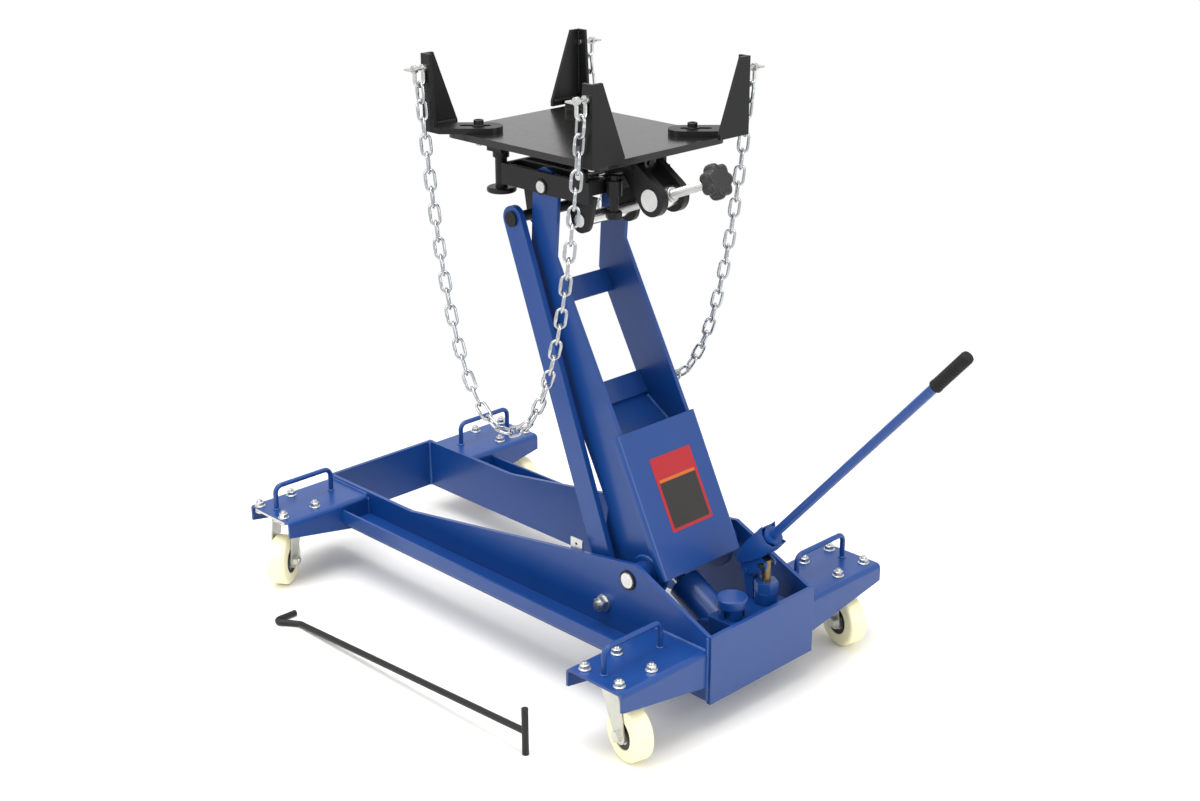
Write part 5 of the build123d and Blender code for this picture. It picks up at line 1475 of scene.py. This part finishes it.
@dataclass(frozen=True)
class PitchScrew(SubAssembly):
    """Threaded screw between the trunnions with its star knob.

    Args:
        upper: station and height of the upper trunnion.
        lower: station and height of the lower trunnion.
        past_nut: length of the screw past the lower trunnion.
        diameter: diameter of the screw.
        thread_pitch: pitch of its thread.
        thread_depth: depth of its thread.
        crest: shares of the pitch where a crest starts and ends.
        collar: diameter of the collars.
        collar_height: height of a collar.
        collar_clear: distance of the collars from the upper trunnion's axis.
        knob_distance: distance of the knob's middle from that axis.
        knob_diameter: diameter over its lobes.
        knob_thickness: its thickness.
        lobes: number of its lobes.
        lobe_depth: depth of the hollows between them.
        lobe_facets: facets of each lobe.
        lobe_power: how narrow the hollows are.
        knob_back: share of its outline on the back.
        knob_rise: height and growth of each step from its back to its dished face.
        insert: section of its steel insert.
    """

    upper: Point2 = (250.0, 872.0)
    lower: Point2 = (389.0, 817.0)
    past_nut: float = 34.0
    diameter: float = 16.0
    thread_pitch: float = 3.0
    thread_depth: float = 0.9
    crest: Point2 = (0.40, 0.62)
    collar: float = 26.0
    collar_height: float = 5.0
    collar_clear: float = 19.3
    knob_distance: float = 128.0
    knob_diameter: float = 62.0
    knob_thickness: float = 24.0
    lobes: int = 7
    lobe_depth: float = 5.5
    lobe_facets: int = 12
    lobe_power: float = 1.6
    knob_back: float = 0.90
    knob_rise: tuple[Point2, ...] = (
        (3.0, 1.075),
        (4.0, 1.03),
        (10.0, 1.0),
        (4.0, 0.97),
        (2.4, 0.90),
        (0.6, 0.80),
        (-0.8, 0.60),
        (-0.6, 0.50),
    )
    insert: tuple[Point2, ...] = (
        (0, 18),
        (8.0, 18),
        (8.0, 22.6),
        (7.2, 23.4),
        (5.0, 23.4),
        (4.2, 22.0),
        (0, 22.0),
    )

    def place(self) -> Matrix:
        """Place on the upper trunnion whose Z axis runs from the lower trunnion to the knob."""
        axis = (self.upper[0] - self.lower[0], 0, self.upper[1] - self.lower[1])
        return upright((self.upper[0], 0, self.upper[1]), axis)

    def screw(self) -> None:
        """Cuts the thread and sets the collars."""
        start = -math.dist(self.upper, self.lower) - self.past_nut
        end = self.knob_distance - self.knob_thickness / 2 + 1
        radius = self.diameter / 2
        root, pitch = radius - self.thread_depth, self.thread_pitch
        profile = [(0, start), (root - 0.6, start)]
        for index in range(int((end - start) / pitch)):
            base = start + 0.6 + index * pitch
            profile.append((root, base))
            profile += [(radius, base + share * pitch) for share in self.crest]
        profile += [(root, end), (0, end)]
        form = Form((ZINC,))
        form.add(turned(profile, 28), self.place())
        rim = self.collar / 2
        for low in (self.collar_clear, -self.collar_clear - self.collar_height):
            high = low + self.collar_height
            lower_edge = [(root, low), (rim - 0.8, low), (rim, low + 0.8)]
            upper_edge = [(rim, high - 0.8), (rim - 0.8, high), (root, high), (root, low)]
            form.add(turned(lower_edge + upper_edge), self.place())
        self.bench.keep("threaded_screw", form, "screw", "zinc", ("pitch_screw",))

    def knob(self) -> None:
        """Moulds the star knob with its dished face and steel insert."""
        part = bmesh.new()
        outer = self.knob_diameter / 2
        sides = self.lobes * self.lobe_facets
        circle = bmesh.ops.create_circle(part, cap_ends=True, segments=sides, radius=outer)
        for vert in circle["verts"]:
            wave = 0.5 - 0.5 * math.cos(self.lobes * math.atan2(vert.co.y, vert.co.x))
            shrink = 1 - self.lobe_depth / outer * wave**self.lobe_power
            vert.co.x *= shrink
            vert.co.y *= shrink
        bmesh.ops.scale(part, verts=part.verts, vec=(self.knob_back, self.knob_back, 1))
        face = part.faces[:][0]
        for rise, growth in self.knob_rise:
            face, verts = pulled(part, face, (0, 0, rise))
            bmesh.ops.scale(part, verts=verts, vec=(growth, growth, 1))
        bmesh.ops.recalc_face_normals(part, faces=part.faces)
        form = Form((PHENOLIC, ZINC))
        back = self.knob_distance - self.knob_thickness / 2
        place = self.place() @ Matrix.Translation((0, 0, back))
        form.add(part, place)
        form.add(turned(self.insert, 28), place, 1)
        self.bench.keep("moulded_star_knob", form, "screw", "black_paint", ("star_knob",), 50)

    def build(self) -> None:
        """Makes the screw and its knob."""
        self.screw()
        self.knob()


# Handle


@dataclass(frozen=True)
class HandleLine:
    """Axis of the pump handle.

    Args:
        fulcrum: station, offset and height of the handle's fulcrum.
        rise: angle of the handle above the floor in degrees.
        drop: distance of the fulcrum below the axis.
    """

    fulcrum: Point3 = (80.8, -57.0, 214.7)
    rise: float = 48.75
    drop: float = 17.0

    def place(self) -> Matrix:
        """Finds the place of the handle.

        Returns:
            Place whose Z axis runs up the handle and whose X axis points away from the fulcrum.
        """
        back, up = -math.cos(math.radians(self.rise)), math.sin(math.radians(self.rise))
        along, out = Vector((back, 0, up)), Vector((up, 0, -back))
        return set_on(Vector(self.fulcrum) + out * self.drop, out, along.cross(out), along)


@dataclass(frozen=True)
class Grip(SubAssembly):
    """Rubber sleeve on the end of the pump handle.

    Args:
        line: axis of the handle.
        tube_end: distance of the tube's end from the fulcrum, along the handle.
        end: thickness of rubber over that end.
        length: length of the sleeve.
        diameter: its diameter.
        bore: radius of its hole.
        grooves: number of its grooves.
        plain: length at both ends without grooves.
    """

    line: HandleLine = HandleLine()
    tube_end: float = 650.5
    end: float = 4.0
    length: float = 87.0
    diameter: float = 23.0
    bore: float = 8.3
    grooves: int = 9
    plain: float = 30.0

    def build(self) -> None:
        """Moulds the sleeve with shallow grooves and a rounded end."""
        top = self.tube_end + self.end
        low, radius = top - self.length, self.diameter / 2
        profile = [(0, low + 2), (self.bore, low + 2), (self.bore, low), (radius - 0.8, low)]
        profile += [(radius, low + 0.8), (radius, low + 5)]
        step = (self.length - self.plain) / self.grooves
        for index in range(self.grooves):
            base = low + 9 + index * step
            groove = ((0.5, 0.0), (1.0, 0.8), (0.5, 1.6), (0.4, step - 0.8))
            profile += [(radius - depth, base + rise) for depth, rise in groove]
        dome = ((0.4, 14.0), (0.4, 5.0), (1.4, 1.8), (3.6, 0.3))
        profile += [(radius - depth, top - drop) for depth, drop in dome] + [(0, top)]
        form = Form((RUBBER,))
        form.add(turned(profile, 36), self.line.place())
        self.bench.keep("rubber_grip", form, "handle", "grip_rubber", ("handle_grip",))


@dataclass(frozen=True)
class SocketCheeks(SubAssembly):
    """Folded sheet round the handle socket, with its mouth cut at a slant.

    Outlines hold distances away from the fulcrum's side and distances up the handle.

    Args:
        line: axis of the handle.
        half_width: half of the width over both cheeks.
        sheet: thickness of the sheet.
        cheek: outline of a cheek.
        webs: outlines of the webs between the cheeks.
    """

    line: HandleLine = HandleLine()
    half_width: float = 19.0
    sheet: float = 3.0
    cheek: tuple[Point2, ...] = (
        (21, 98),
        (9, 87),
        (-7, 85),
        (-20, 93),
        (-20, 60),
        (-13, 34),
        (-4, 10),
        (6, -2),
        (16, 8),
        (21, 40),
    )
    webs: tuple[tuple[Point2, ...], ...] = (
        ((20.8, 92), (18, 92), (18, 40), (13.5, 10), (15.8, 8), (20.8, 40)),
        ((-19.8, 89), (-19.8, 62), (-17, 62), (-17, 89)),
    )

    def build(self) -> None:
        """Folds both cheeks and the webs between them."""
        form = Form((BLUE_ENAMEL,))
        outer, inner = self.half_width, self.half_width - self.sheet
        for low, high in ((inner, outer), (-outer, -inner)):
            form.add(prism(self.cheek, low, high, 0.7), self.line.place())
        for web in self.webs:
            form.add(prism(web, -inner - 0.5, inner + 0.5, 0.4), self.line.place())
        self.bench.keep("socket_cheeks", form, "handle", "blue_enamel")


# Whole jack


@dataclass(frozen=True)
class Jack:
    """The whole dressed jack."""

    bench: Bench

    def dress_nodes(self) -> None:
        """Gives every CAD node the material of its finish."""
        for name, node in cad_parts.items():
            finish = NodeFinish.of(name)
            node.data.materials.clear()
            node.data.materials.append(finish.material())
            log.info("%s: %s", name, finish.name)

    def build(self) -> None:
        """Builds the studio first and then each sub-assembly."""
        Studio(self.bench).build()
        self.dress_nodes()
        for part in (
            Chains,
            Casters,
            ChassisWelds,
            CoverPanel,
            ArmWelds,
            RetainingRings,
            BracketDress,
            PitchScrew,
            Grip,
            SocketCheeks,
        ):
            part(self.bench).build()


def main() -> None:
    """Builds the dressed jack."""
    logging.basicConfig(level=logging.INFO, format="%(name)s %(message)s")
    Jack(Bench.from_frame()).build()


if __name__ == "__main__":
    main()
